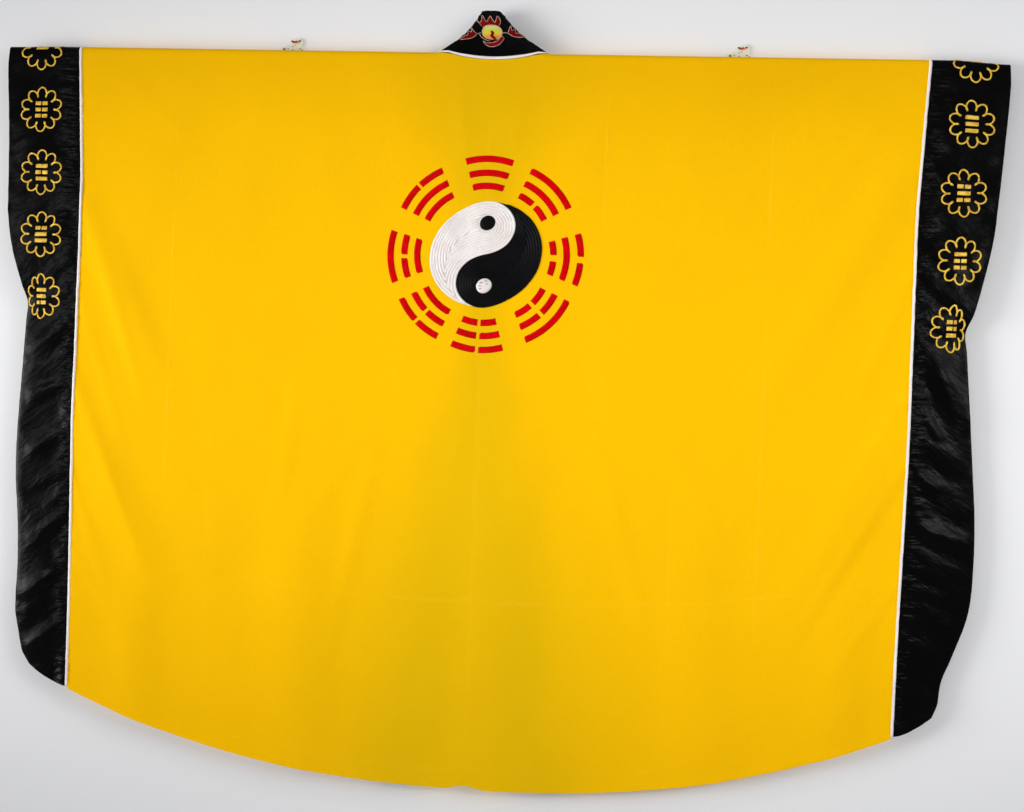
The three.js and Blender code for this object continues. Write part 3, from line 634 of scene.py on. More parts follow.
def satinFinish():
    finish = Finish("blackSatin", Specular_IOR_Level=0.06)
    flat = finish.place("UV")
    across, down, _ = finish.parts(flat)
    # the folds fall away from the seam as they run outwards
    slant = finish.add("ShaderNodeCombineXYZ", {}, {0: across, 1: down + across.size() * 0.55})
    threads = finish.noise(flat, 700, 1, 0.5, stretch=(0.06, 1, 1))
    broad = finish.noise(slant, 14, 4, 0.6, stretch=(0.55, 1.1, 1))
    fine = finish.noise(slant, 62, 3, 0.6, stretch=(0.5, 1.6, 1))
    colour = finish.mix(broad, (0.0003, 0.0003, 0.0004), (0.001, 0.001, 0.0012))
    rough = 0.18 + broad * 0.1 + threads * 0.04
    # small gathers run in from the seam with the yellow cloth
    gathers = finish.noise(flat, 70, 2, 0.5, stretch=(0.3, 1.5, 1)) * across.size().between(0.815, 0.768)
    height = broad * 0.0024 + fine * 0.0008 + gathers * 0.0038 + threads * 0.00003
    return finish.wear(Base_Color=colour, Roughness=rough, Normal=finish.bump(height, 1.0, 1.0))


# Sewn thread: lines across or along each cord, which the UV map runs along
def threadFinish(name, light, dark, spacing=0.0007, rough=0.42, along=False, metallic=0.0, tint=None, patch=30.0,
                 shine=0.3, edge=None):
    finish = Finish(name, Specular_IOR_Level=shine, Metallic=metallic)
    flat = finish.place("UV")
    run, around, _ = finish.parts(flat)
    turns = around * 26.0 if along else run * (2 * math.pi / spacing) + (around * 2 * math.pi).sine() * 0.8
    thread = turns.sine() * 0.5 + 0.5
    patchy = finish.noise(finish.place(), patch, 3, 0.6)
    # darker between the threads: painted shade in the grooves of the stitches; the patches mixed in are random tone
    colour = finish.mix((thread * 0.35 + patchy.between(0.35, 0.68) * 0.65), dark, light)
    if tint:
        colour = finish.mix(finish.noise(finish.place(), patch * 2.3, 2).between(0.52, 0.7) * 0.7, colour, tint)
    # the edge colour is partly painted shade where the strip meets the cloth and partly a dark stitched outline
    if edge:  # darker along both long edges
        colour = finish.mix((around - 0.5).size().between(0.36, 0.5) * 0.8, colour, edge)
    height = thread * 0.00016 + patchy * 0.0003
    return finish.wear(Base_Color=colour, Roughness=rough + 0.12 * patchy, Normal=finish.bump(height, 1.0, 0.8))


def woodFinish():
    finish = Finish("rodWood", Coat_Roughness=0.35)
    place = finish.place()
    rings = finish.noise(place, 60, 4, 0.6, stretch=(0.05, 1, 1))
    fibre = finish.noise(place, 900, 2, 0.5, stretch=(0.02, 1, 1))
    colour = finish.mix(rings.between(0.3, 0.7), (0.42, 0.25, 0.11), (0.60, 0.40, 0.20))
    colour = finish.mix(fibre.between(0.55, 0.75) * 0.5, colour, (0.28, 0.15, 0.06))
    height = rings * 0.0004 + fibre * 0.0001
    return finish.wear(Base_Color=colour, Roughness=0.42 + 0.2 * rings, Normal=finish.bump(height, 1.0, 0.5))


def enamelFinish(name, colour, worn):
    finish = Finish(name, Coat_Weight=0.35, Coat_Roughness=0.15)
    place = finish.place()
    cloud = finish.noise(place, 40, 3, 0.6)
    shade = finish.mix(cloud.between(0.4, 0.75) * 0.4, colour, worn)
    rough = 0.28 + cloud * 0.2
    return finish.wear(Base_Color=shade, Roughness=rough, Normal=finish.bump(cloud * 0.0003, 1.0, 0.4))


finishes = {
    "yellow": yellowFinish(),
    "satin": satinFinish(),
    "piping": threadFinish("whitePiping", (0.93, 0.89, 0.87), (0.80, 0.74, 0.73), 0.0011, 0.6, patch=18),
    "red": threadFinish("redThread", (0.80, 0.001, 0.004), (0.58, 0.0005, 0.002), 0.0006, 0.55, patch=45,
                        shine=0.02, edge=(0.16, 0.004, 0.004)),
    "flame": threadFinish("flameThread", (0.27, 0.006, 0.008), (0.12, 0.002, 0.003), 0.0006, 0.55, patch=60,
                          shine=0.02),
    "ivory": threadFinish("ivoryFloss", (0.93, 0.88, 0.85), (0.78, 0.70, 0.68), along=True, patch=24,
                          tint=(0.84, 0.74, 0.72)),
    "jet": threadFinish("blackFloss", (0.004, 0.004, 0.005), (0.001, 0.001, 0.0015), rough=0.4, along=True,
                        patch=24, shine=0.08),
    "gold": threadFinish("goldThread", (1.0, 0.72, 0.09), (0.56, 0.26, 0.012), 0.0008, 0.36, metallic=0.2, patch=150),
    "cream": threadFinish("creamThread", (0.80, 0.62, 0.44), (0.46, 0.26, 0.18), 0.0008, 0.4, patch=150, shine=0.1),
    "wood": woodFinish(),
    "enamel": enamelFinish("hookEnamel", (0.80, 0.79, 0.64), (0.60, 0.62, 0.40)),
    "brown": enamelFinish("brownEnamel", (0.06, 0.025, 0.012), (0.03, 0.012, 0.006)),
    "olive": enamelFinish("oliveEnamel", (0.16, 0.15, 0.05), (0.08, 0.08, 0.03)),
    "redEnamel": enamelFinish("redEnamel", (0.40, 0.02, 0.012), (0.22, 0.01, 0.01)),
    "goldEnamel": enamelFinish("goldEnamel", (0.80, 0.50, 0.12), (0.50, 0.28, 0.06)),
}
print("finishes ready")
sides = (("left", -1), ("right", 1))


grain = {"archShares": (0.0, 0.25, 0.5, 0.75, 1.0), "firstDrops": [8.0, 15.0], "nextDrop": 22, "rowStep": 7.2,
         "hemRows": 1130, "hemStep": 4.0, "columnStep": 11, "neckStep": 8, "neckNear": (1.5, 3.5, 7),
         "collarNear": (3, 7, 12), "seamNear": (3, 6.5, 11, 17), "alongStep": 9.0, "pipingStep": 8.0}


def dropRows():
    rows, drop = list(grain["firstDrops"]), grain["nextDrop"]
    while drop < -cloth["sideHem"]:
        rows.append(drop)
        drop += grain["rowStep"] if drop < grain["hemRows"] else grain["hemStep"]
    return [*rows, float(-cloth["sideHem"])]


drops = dropRows()
# From the back hem over the ridge to the front hem: (face, arch share, drop)
stations = (
    [(-1, None, drop) for drop in reversed(drops)]
    + [(-1, share, 0) for share in reversed(grain["archShares"])]
    + [(1, share, 0) for share in grain["archShares"][1:]]
    + [(1, None, drop) for drop in drops]
)
backStations = [s for s in stations if s[0] < 0]
innerRows = {drop: innerX(rowZ(innerX(-drop), drop)) for drop in drops}


# Where the neck line passes a resting place x0
def neckRim(x0):
    return neckEdge(1, x0 if x0 < bendStart else alongAt(0, x0, bendStart, bendCrest))


# How much further down a row starts under the neck line, and where the rows are even again
neckFall = {"low": 9, "even": 20, "thinnest": 0.3}
seamStart = seamTop - cloth["seamInset"]
# Reach, size and pitch of the gathers in the yellow cloth
yellowWaves = {"seam": (14, 1.5, 9), "hem": (9, 1.2, 21), "collar": (13, 1.3, 11), "centre": (8, 0.7, 13),
               "seamDent": 0.12, "turned": 0.35, "followFrom": 560}


# The yellow cloth at a column's resting place x0 and a station
def yellowAt(side, x0, station):
    face, share, drop = station
    byNeck = x0 < crestX - 0.01
    if share is not None:
        topY, topZ = 0.0, layer
        if byNeck:
            rim = neckRim(x0)
            topY, topZ = max(-rim.y - cloth["rodFromWall"], neckFall["thinnest"]), rim.z
            if topZ <= 0:
                return hanging(side, face, x0, topZ - share * neckFall["low"])
        return overRod(side, face, x0, share, topY, topZ)
    if byNeck and drop < neckFall["even"]:
        topZ = min(neckRim(x0).z, 0)
        drop = blend(-topZ + (neckFall["low"] if topZ < 0 else 0), neckFall["even"], drop / neckFall["even"])
    start = yellowWaves["followFrom"]
    shift = smooth((x0 - start) / (seamStart - start)) * (readTable(sideSeam, -drop) - seamTop)
    if face > 0:
        shift += (innerRows[station[2]] - crestX) * (1 - clamp((x0 - crestX) / (seamStart - crestX)))
    x = x0 + shift
    z = rowZ(x, drop)
    point = hanging(side, face, x, z)
    seed = 3 + side + 5 * face
    gather = pucker(seamStart - x0, z, *yellowWaves["seam"], seed)
    gather += pucker(abs(z - hemZ(x)), x, *yellowWaves["hem"], seed + 2)
    if face > 0:
        point += dent(side, x, drop)
        gather += pucker(x0 - crestX, z, *yellowWaves["collar"], seed + 4)
    elif x0 < 40:
        gather += pucker(x0, z, *yellowWaves["centre"], 9) * smooth(x0 / 3)
        gather -= yellowWaves["seamDent"] * math.exp(-((x0 / 2.6) ** 2))
    turned = yellowWaves["turned"] * smooth((hemZ(x) + 13 - z) / 1.5)
    point.y += face * (gather * smooth(-z / 40) + yellowRelief(side, face, x, z) + turned)
    return point


# How far a station lies from the ridge along the cloth, in metres, down the front above 0 and down the back below 0
def reachOf(station):
    face, share, drop = station
    return face * (drop + arc if share is None else share * arc) / 1000


# Columns from low to high, closer near the ends
def columnPlaces(low, high, step, nearLow, nearHigh=(0,)):
    start, stop = low + nearLow[-1], high - nearHigh[-1]
    count = max(1, round((stop - start) / step))
    columns = [low + d for d in (0, *nearLow[:-1])] + [start + (stop - start) * i / count for i in range(count + 1)]
    return columns + ([high - d for d in reversed((0, *nearHigh[:-1]))] if nearHigh[-1] else [])


def nameOf(start, side):
    return start + ("left" if side < 0 else "right")


def makeYellow(name, side):
    bm = bmesh.new()
    for columns, rows in (
        (columnPlaces(crestX, seamStart, grain["columnStep"], grain["collarNear"], grain["seamNear"]), stations),
        (columnPlaces(0.0, crestX, grain["neckStep"], grain["neckNear"]), backStations),
    ):
        addGrid(bm, len(columns) - 1, len(rows) - 1, lambda c, r: yellowAt(side, columns[c], rows[r]),
                lambda c, r: (side * columns[c] / 1000, reachOf(rows[r])))
    nodes = [nameOf("body_back_", side), nameOf("body_front_", side)]
    return thicken(newPiece(name, bm, finishes["yellow"], nodes), cloth["thickness"])


satinBand = {"start": 0.765, "width": 0.135, "corner": 36, "edgeShares": [0, 0.02, 0.045, 0.075, 0.11],
             "middle": 0.84, "columns": 22, "lastShares": [0.975, 1.0]}


# The satin band at a share of its width and a station
def satinPoint(side, share, station):
    face, arch, drop = station

    def across(z):
        return blend(readTable(sideSeam, z) + cloth["seamInset"], cuffAt(side, z), share)

    if arch is not None:
        return overRod(side, face, across(0), arch)
    z = -drop + satinBand["corner"] * share**1.5 * (drop / -cloth["sideHem"]) ** 6
    x = across(z)
    point = hanging(side, face, x, z)
    point.y += face * satinRelief(side, face, x, z)
    return point


def makeSatin(name, side):
    count, edgeShares = satinBand["columns"], satinBand["edgeShares"]
    shares = edgeShares + [edgeShares[-1] + satinBand["middle"] * i / count for i in range(1, count + 1)]
    shares += satinBand["lastShares"]
    bm = bmesh.new()
    addGrid(bm, len(shares) - 1, len(stations) - 1, lambda c, r: satinPoint(side, shares[c], stations[r]),
            lambda c, r: (side * (satinBand["start"] + shares[c] * satinBand["width"]), reachOf(stations[r])))
    nodes = [nameOf("cuff_back_", side), nameOf("cuff_front_", side)]
    return thicken(newPiece(name, bm, finishes["satin"], nodes), cloth["thickness"])


# Stops of the collar's line, from the centre back to the front hem
def collarStops(step):
    last = foldSum - rowZ(140, -cloth["sideHem"])
    bend = [bendStart + 2 * bendHalf * i / 30 for i in range(31)]
    before = [bendStart * i / 7 for i in range(7)]
    count = round((last - bend[-1]) / step)
    return before + bend + [bend[-1] + (last - bend[-1]) * i / count for i in range(1, count + 1)]


def makeCollar(name, side):
    stops = collarStops(grain["alongStep"])
    band = collarHigh - collarLow
    ups = [0, 0.03] + [0.03 + 0.94 * i / 18 for i in range(1, 19)] + [1]
    bm = bmesh.new()

    def place(column, row):
        up, along = ups[column] * band, stops[row]
        point = collarPoint(side, along, up)
        seed = 40 + side
        gather = pucker(up, along, *collar["sewnGathers"], seed)
        gather += pucker(band - up, along, *collar["foldGathers"], seed + 1)
        soft = wave(up / 40, along / 90, seed) * collar["soft"] * math.sin(math.pi * ups[column])
        past = max(along - foldSum - collar["flatBelow"], 0)
        point.y += (gather + soft) * smooth(past / collar["flatFade"])
        return point

    addGrid(bm, len(ups) - 1, len(stops) - 1, place, lambda c, r: (side * ups[c] * band / 1000, -stops[r] / 1000))
    piece = newPiece(name, bm, finishes["satin"], [nameOf("collar_", side)])
    thicken(piece, collar["thickness"])
    soft = piece.modifiers.new("softEdge", "BEVEL")
    soft.width, soft.segments, soft.limit_method, soft.angle_limit = collar["softEdge"], 2, "ANGLE", math.radians(50)
    return piece


piping = {"width": 5.0, "height": 2.9, "lift": -0.7, "sides": 10, "reach": 2.8, "drawn": 0.4}


# Piping along places, each the seam's low, middle and high point and how full the cord is there
def makePiping(name, node, places, taper):
    stops = []
    for i, (low, middle, high, drawn) in enumerate(places):
        before, after = places[max(i - 1, 0)][1], places[min(i + 1, len(places) - 1)][1]
        across = unit(high - low)
        out = unit(across.cross(after - before))
        if out.dot(awayFromRod(middle)) < 0:
            out = -out
        stops.append((middle, across * drawn, out * drawn))
    bm = bmesh.new()
    addCord(bm, stops, piping["width"], piping["height"], piping["sides"], piping["lift"], taper=taper)
    newPiece(name, bm, finishes["piping"], [node])


def makeSidePiping(name, side):
    places = []
    for face, share, drop in stations:
        seam, line = readTable(sideSeam, -drop), []
        for d in (-piping["reach"], 0, piping["reach"]):
            if share is not None:
                line.append(overRod(side, face, seamTop + d, share))
            else:
                line.append(hanging(side, face, seam + d, -drop) + Vector((wave(drop / 16, face, side) * 0.5, 0, 0)))
        places.append((*line, 1.0))
    makePiping(name, nameOf("piping_side_", side), places, 1)


def makeCollarPiping(name, side):
    places = []
    for along in collarStops(grain["pipingStep"]):
        drawn = 1 - piping["drawn"] * math.exp(-(((along - bendCrest + 8) / 30) ** 2))
        places.append((*(neckEdge(side, along, share) for share in (0.1, 0.5, 0.9)), drawn))
    makePiping(name, nameOf("piping_collar_", side), places, 0)


for word, side in sides:
    label = word.capitalize()
    makeYellow("yellow" + label, side)
    makeSatin("satin" + label, side)
    makeCollar("collarBand" + label, side)
    makeSidePiping("sidePiping" + label, side)
    makeCollarPiping("collarPiping" + label, side)
print("cloth made")


emblem = {"x": 1.2, "z": -352, "radius": 100, "turn": 1.5, "twist": 9, "long": 1.03, "short": 0.902, "diagonal": 26,
          "pull": 0.032, "pullHalf": 34, "dotZ": 59, "dotRadius": 14, "dotHeight": 2.6, "dotSkirt": 0.7,
          "dotRibs": 0.25, "dotStep": 0.085, "pitch": 5.0, "backing": 0.5, "cord": 2.1, "wander": 0.3, "sunk": 0.3}


# It is drawn on a circle, turned, then stretched along one diagonal of the back and drawn in across it
def emblemSurface(halfTurn):
    diagonal = math.radians(emblem["diagonal"])

    def surface(u, v):
        reach = math.hypot(u, v)
        loose = emblem["twist"] * max(1 - reach / emblem["radius"], 0) ** 4
        angle = math.atan2(v, u) + halfTurn + math.radians(emblem["turn"] + loose) - diagonal
        a, b = reach * math.cos(angle) * emblem["long"], reach * math.sin(angle) * emblem["short"]
        x = a * math.cos(diagonal) - b * math.sin(diagonal)
        z = a * math.sin(diagonal) + b * math.cos(diagonal)
        z *= 1 + emblem["pull"] * math.exp(-((x / emblem["pullHalf"]) ** 2))
        return backAt(x + emblem["x"], emblem["z"] + z)
    return surface


def arcLine(cx, cz, radius, start, stop, step=3.2):
    count = max(3, int(abs(stop - start) * radius / step))
    angles = [start + (stop - start) * i / count for i in range(count + 1)]
    return [(cx + radius * math.cos(angle), cz + radius * math.sin(angle)) for angle in angles]


# One couched thread of a half: round it at a distance in from its edge, as one closed line
def couchedLine(inset):
    big = emblem["radius"]
    half = big / 2
    outer, head, tail = big - inset, half - inset, half + inset
    # where the outer arc meets the hollow of the tail
    z = -(outer**2 - tail**2 + half**2) / big
    x = -math.sqrt(max(outer**2 - z**2, 0))
    line = arcLine(0, 0, outer, math.atan2(z, x) % (2 * math.pi), math.pi / 2)
    if head > 2:
        line += arcLine(0, half, head, math.pi / 2, -math.pi / 2)[1:]
    line += arcLine(0, -half, tail, math.pi / 2, math.atan2(z + half, x) % (2 * math.pi))[1:-1]
    return line


def makeHalf(name, halfTurn, finish, nodes, seed):
    surface = emblemSurface(halfTurn)
    bm = bmesh.new()
    big, columns, rows = emblem["radius"] - 1, 26, 64

    # the backing that the threads are couched on, from the outer arc to the curve between the halves
    def backing(column, row):
        v = -big * math.cos(math.pi * row / rows)
        bow = math.sqrt(max((big / 2) ** 2 - (abs(v) - big / 2) ** 2, 0)) * (1 if v > 0 else -1)
        u = blend(-math.sqrt(max(big**2 - v**2, 0)), bow, column / columns)
        return surface(u, v) + Vector((0, -emblem["backing"], 0))

    addGrid(bm, columns, rows, backing, lambda c, r: (r / 50, 0.25))
    inset, row = emblem["pitch"] / 2, 0
    while inset < emblem["radius"] / 2 - 2:
        line = couchedLine(inset)
        clear = emblem["dotRadius"] + emblem["pitch"] / 2 - 1.2
        # a thread that meets the dot stops at its edge
        runs, run = [], []
        for u, v in line:
            if math.hypot(u, v - emblem["dotZ"]) > clear:
                run.append((u, v))
            elif run:
                runs.append(run)
                run = []
        whole = not runs and len(run) == len(line)
        if run:
            runs.append(run)
        if len(runs) > 1 and not whole:
            runs = [runs[-1] + runs[0], *runs[1:-1]]
        for run in runs:
            if len(run) < 4:
                continue
            far, start = emblem["wander"], seed + row
            loose = [(u + far * wave(u / 14, v / 14, start), v + far * wave(u / 12, v / 12, start + 50))
                     for u, v in run]
            stops = layLine(surface, loose, towardsRoom, closed=whole)
            lift = emblem["backing"] - emblem["sunk"]
            addCord(bm, stops, emblem["pitch"] * 1.02, emblem["cord"], 8, lift, closed=whole)
        inset += emblem["pitch"]
        row += 1
    return newPiece(name, bm, finish, nodes)


def makeDot(name, halfTurn, finish, nodes):
    surface = emblemSurface(halfTurn)
    bm = bmesh.new()
    radius, height, sides, rows = emblem["dotRadius"], emblem["dotHeight"], 28, 7

    def place(column, row):
        angle, share = column / sides * 2 * math.pi, row / rows
        u, v = radius * share * math.cos(angle), emblem["dotZ"] + radius * share * math.sin(angle)
        point = surface(u, v)
        ribs = emblem["dotRibs"] * math.sin(v * 2.4)
        point.y -= emblem["backing"] + height * math.sqrt(max(1 - share**2.6, 0)) + ribs * (1 - share)
        return point

    step, skirt = emblem["dotStep"], emblem["dotSkirt"]
    addGrid(bm, sides, rows, place, lambda c, r: (c / sides * step, r / rows))
    addGrid(bm, sides, 1, lambda c, r: place(c, rows) + Vector((0, skirt * r, 0)), lambda c, r: (c / sides * step, 1))
    return newPiece(name, bm, finish, nodes)


makeHalf("emblemWhite", 0, finishes["ivory"], ["emblem_white"], 1)
makeHalf("emblemBlack", math.pi, finishes["jet"], ["emblem_black"], 9)
makeDot("dotBlack", 0, finishes["jet"], ["dot_black"])
makeDot("dotWhite", math.pi, finishes["ivory"], ["dot_white"])


# Black stitches that show on the white dot, each from a place on it and as long as the third number
stitch = {"width": 1.3, "height": 0.9, "lift": 3.0, "wander": 0.3,
          "places": ((9, -6, 8), (9.5, 0, 5.5), (9, 5.5, 5.5), (0, -8.5, 6), (-3, -3, 5))}


def makeDotStitches():
    surface, bm = emblemSurface(math.pi), bmesh.new()
    for u, v, length in stitch["places"]:
        line = [(u - length * i / 4, emblem["dotZ"] + v + stitch["wander"] * math.sin(i * 2.1)) for i in range(5)]
        addCord(bm, layLine(surface, line, towardsRoom), stitch["width"], stitch["height"], 5, stitch["lift"])
    newPiece("dotStitches", bm, finishes["jet"])


makeDotStitches()
print("emblem sewn")

trigramBars = {"width": 11.8, "bend": 0.8, "height": 1.5}
# radius and half the length of a bar
rings = (("outer", 171, 47), ("middle", 146, 39), ("inner", 122.5, 31))
# Clockwise from the top: 1 for a whole bar and 0 for a broken one from the outer ring in, how far the group
# leans round the ring in degrees, how long its bars are, and the gap of its broken ones
trigrams = (
    ("top", "111", 0.6, 0.92, 6), ("top_right", "110", -1.8, 1.05, 6), ("right", "010", 1.6, 0.99, 11),
    ("low_right", "100", 0, 1.12, 6.5), ("low", "000", 2.8, 1, 5.4), ("low_left", "001", -0.6, 1.03, 5.2),
    ("left", "101", -3, 1, 6.2), ("top_left", "011", -0.8, 1.07, 4.6),
)


pad = {"middle": 0.8, "rim": 0.28, "rimAt": 0.78, "rimHalf": 0.16, "end": 1.6}


# Adds a padded strip, puffed between its sewn edges. alongLine(t) gives its middle (u, v) and the flat way across
def addPad(bm, surface, alongLine, width, height, count, across=6, lift=0.45, outward=towardsRoom):
    def place(column, row):
        t, s = row / count, column / across * 2 - 1
        (u, v), (nu, nv) = alongLine(t)
        w = width / 2 * s
        point, out = spot(surface, u + nu * w, v + nv * w, outward)
        end = clamp(min(t, 1 - t) * count / pad["end"])
        puff = math.sqrt(max(1 - abs(s) ** 5, 0)) * math.sqrt(max(1 - (1 - end) ** 3, 0))
        rim = pad["rim"] * math.exp(-(((abs(s) - pad["rimAt"]) / pad["rimHalf"]) ** 2)) * puff
        return point + out * (lift + height * puff * (pad["middle"] + rim))

    addGrid(bm, across, count, place, lambda c, r: (r / count * 0.08, c / across))


def makeBars():
    bm = bmesh.new()
    nodes = []
    for i, (name, flags, lean, stretch, apart) in enumerate(trigrams):
        turn = i * math.pi / 4 + math.radians(lean)
        for (ring, radius, reach), whole in zip(rings, flags):
            bent = radius * trigramBars["bend"]
            half, gap = stretch * reach / bent, apart / 2 / bent
            label = f"bar_{name}_{ring}"
            spans = [(-half, half, label)]
            if whole == "0":
                spans = [(-half, -gap, label + "_a"), (gap, half, label + "_b")]
            cu, cv = math.sin(turn) * (radius - bent), emblem["z"] + math.cos(turn) * (radius - bent)
            for start, stop, node in spans:
                nodes.append(node)

                def alongLine(t, start=start, stop=stop):
                    angle = turn + blend(start, stop, t)
                    way = (math.sin(angle), math.cos(angle))
                    return (cu + bent * way[0], cv + bent * way[1]), way

                count = max(8, round(abs(stop - start) * bent / 3.5))
                addPad(bm, backAt, alongLine, trigramBars["width"], trigramBars["height"], count)
    return newPiece("trigramBars", bm, finishes["red"], nodes)


makeBars()
print("bars sewn")

medallion = {"petals": 10, "from": 27, "long": 12, "wide": 8.9, "arc": 122, "thread": 3.1, "height": 1.3,
             "tall": 1.05, "lean": 0.12, "radius": 41, "half": 38, "clear": 3, "narrowest": 0.3, "bar": 11.8,
             "barWidth": 7.4, "barHeight": 1.4, "barStep": 11.6, "barGap": 0.8}
# x, length of cloth from the ridge, and the three bars from the top, 1 whole and 0 broken
medallions = {
    "left": ((838, 8, "01"), (835, 123, "000"), (830, 239, "101"), (826, 353.5, "011"), (824, 467.5, "110"),
             (836, -108, "110"), (831, -222, "001"), (828, -335, "100"), (822, -447, "101")),
    "right": ((841, 1.5, "10"), (838, 115.5, "111"), (829, 236.5, "010"), (828, 354, "100"), (820.5, 471.5, "001"),
              (841, -112, "011"), (833, -226, "110"), (827, -340, "000"), (819, -453, "010")),
}


def makeMedallions(name, side):
    bm = bmesh.new()
    reach, half = medallion["radius"], medallion["half"]
    for cx, centre, bars in medallions[nameOf("", side)]:
        # the outer half is drawn in where the cuff is sewn shut
        limit = min(cuffAt(side, arc - abs(centre) + dz) for dz in (-half, 0, half)) - medallion["clear"]

        def surface(u, v, cx=cx, centre=centre, limit=limit):
            x = u * side
            if x > 0 and cx + reach > limit:
                x *= max((limit - cx) / reach, medallion["narrowest"])
            return clothAt(side, cx + x, centre + v * (1 if centre < 0 else -1))

        lean = wave(cx, centre, 0) * medallion["lean"]
        for i in range(medallion["petals"]):
            middle = math.pi / 2 + lean + i * 2 * math.pi / medallion["petals"]
            line = []
            for k in range(17):
                bend = math.radians(blend(-medallion["arc"], medallion["arc"], k / 16))
                far = medallion["from"] + medallion["long"] * math.cos(bend)
                aside = medallion["wide"] * math.sin(bend)
                line.append((far * math.cos(middle) - aside * math.sin(middle),
                             (far * math.sin(middle) + aside * math.cos(middle)) * medallion["tall"]))
            stops = layLine(surface, line, awayFromRod)
            addCord(bm, stops, medallion["thread"], medallion["height"], 6, 0.2, twist=0.06)
        for row, whole in enumerate(bars):
            v, long, gap = (1 - row) * medallion["barStep"], medallion["bar"], medallion["barGap"]
            for start, stop in [(-long, long)] if whole == "1" else [(-long, -gap), (gap, long)]:
                addPad(bm, surface, lambda t, start=start, stop=stop, v=v: ((blend(start, stop, t), v), (0, 1)),
                       medallion["barWidth"], medallion["barHeight"], 8, outward=awayFromRod, lift=0.2)
    return newPiece(name, bm, finishes["gold"])


for word, side in sides:
    makeMedallions("medallions" + word.capitalize(), side)
print("medallions sewn")


# Places are x and z on the standing collar as seen from the room
def collarSurface(u, v):
    side = -1 if u < 0 else 1
    along = abs(u) / pinchAt(v)
    low = seamLow(along)
    v += foldShift * smooth(1 - (collarHigh - foldShift / 2 - v) / collar["level"])
    return collarPoint(side, along, (v - low) * (collarHigh - collarLow) / (collarHigh - low))


def curve(points, count):
    # a smooth line through the points
    line = []
    for i in range(count + 1):
        t = i / count * (len(points) - 1)
        k = min(int(t), len(points) - 2)
        s = t - k
        p = [points[max(k - 1, 0)], points[k], points[k + 1], points[min(k + 2, len(points) - 1)]]
        line.append(tuple(
            0.5 * (2 * p[1][a] + (p[2][a] - p[0][a]) * s + (2 * p[0][a] - 5 * p[1][a] + 4 * p[2][a] - p[3][a]) * s**2
                   + (3 * p[1][a] - p[0][a] - 3 * p[2][a] + p[3][a]) * s**3) for a in (0, 1)))
    return line


# Tongues of flame round the pearl, each between an upper and a lower line
flames = {
    "crown": ([(-18, 55), (-24, 62), (-27, 67), (-22, 62), (-18.5, 66), (-16, 75), (-13, 69), (-9.5, 63.5), (-6, 69),
               (-2, 74), (1, 69), (5.5, 62), (8, 68), (10.5, 74), (15, 69), (15.5, 62), (11.5, 56)],
              [(-17, 53), (-11, 56.5), (-3, 58), (5, 57), (11, 54.5)]),
    "left": ([(-28, 42), (-33, 46), (-37, 51.5), (-38, 45), (-43, 46.5), (-45, 40), (-51, 37.5), (-59, 32)],
             [(-28, 41), (-36, 35), (-46, 32.5), (-59, 31)]),
    "right": ([(28, 44.5), (30, 50), (33, 56), (35, 48.5), (40, 51), (42, 44), (48, 43.5), (57, 38)],
              [(28, 43.5), (36, 38.5), (46, 36.5), (57, 37)]),
    "crescent": ([(-18, 30), (-12, 26.5), (-5, 26), (3, 27.5), (10, 31), (14, 38), (20, 36)],
                 [(-18, 29), (-12, 22), (-2, 19), (9, 22), (17, 29), (21, 35)]),
}
scrolls = [
    [(-20, 44), (-25, 43), (-29, 41)],
    [(-24, 42), (-20, 36), (-12, 31), (-4, 29)],
    [(17, 44), (23, 44.5), (29, 43.5)],
    [(16, 41), (12, 35), (6, 31)],
]


pearl = {"u": -0.5, "v": 45, "wide": 18, "tall": 12.6, "point": 0.85, "height": 1.5, "ribs": 0.16,
         "tongue": [(-3, 47), (1, 43), (-2, 39), (3, 34), (4, 28)], "foot": 0.0305, "reach": 0.027}


# A place on the pearl, which is wider than it is tall, with a point at each side
def pearlPlace(angle, share=1.0):
    aside = math.copysign(abs(math.cos(angle)) ** pearl["point"], math.cos(angle))
    return pearl["u"] + pearl["wide"] * share * aside, pearl["v"] + pearl["tall"] * share * math.sin(angle)


def makeCollarWork():
    red, cream, gold = bmesh.new(), bmesh.new(), bmesh.new()
    lift = collar["thickness"] / 2 - 0.1

    def sew(bm, line, width, height, rise=0.0, sides=5, closed=False):
        addCord(bm, layLine(collarSurface, line, awayFromRod, closed), width, height, sides, lift + rise, closed)

    for upper, lower in flames.values():
        count = len(upper) * 4
        high, low = curve(upper, count), curve(lower, count)

        def fill(column, row):
            share = row / 4
            place = (blend(low[column][a], high[column][a], share) for a in (0, 1))
            point, out = spot(collarSurface, *place, awayFromRod)
            return point + out * (lift + 0.5 + 0.5 * math.sin(math.pi * share))

        addGrid(red, count, 4, fill, lambda c, r: (c / 900, r / 4))
        for line in (high, low):
            sew(cream, line, 1.0, 1.1, 0.1)
    for points in scrolls:
        sew(cream, curve(points, 12), 1.0, 0.9)

    def place(column, row):
        share = row / 8
        u, v = pearlPlace(column / 32 * 2 * math.pi, share)
        point, out = spot(collarSurface, u, v, awayFromRod)
        puff = pearl["height"] * math.sqrt(max(1 - share**2.2, 0))
        puff += pearl["ribs"] * math.sin(v * 4.0) * (1 - share)
        return point + out * (lift + puff)

    addGrid(gold, 32, 8, place, lambda c, r: (c / 32, r / 8))
    sew(cream, [pearlPlace(k / 36 * 2 * math.pi) for k in range(36)], 1.3, 1.2, closed=True)
    sew(red, curve(pearl["tongue"], 14), 4.4, 1.0, 1.4, 6)
    newPiece("collarFlames", red, finishes["flame"])
    newPiece("collarOutlines", cream, finishes["cream"])
    newPiece("collarPearl", gold, pearlFinish())


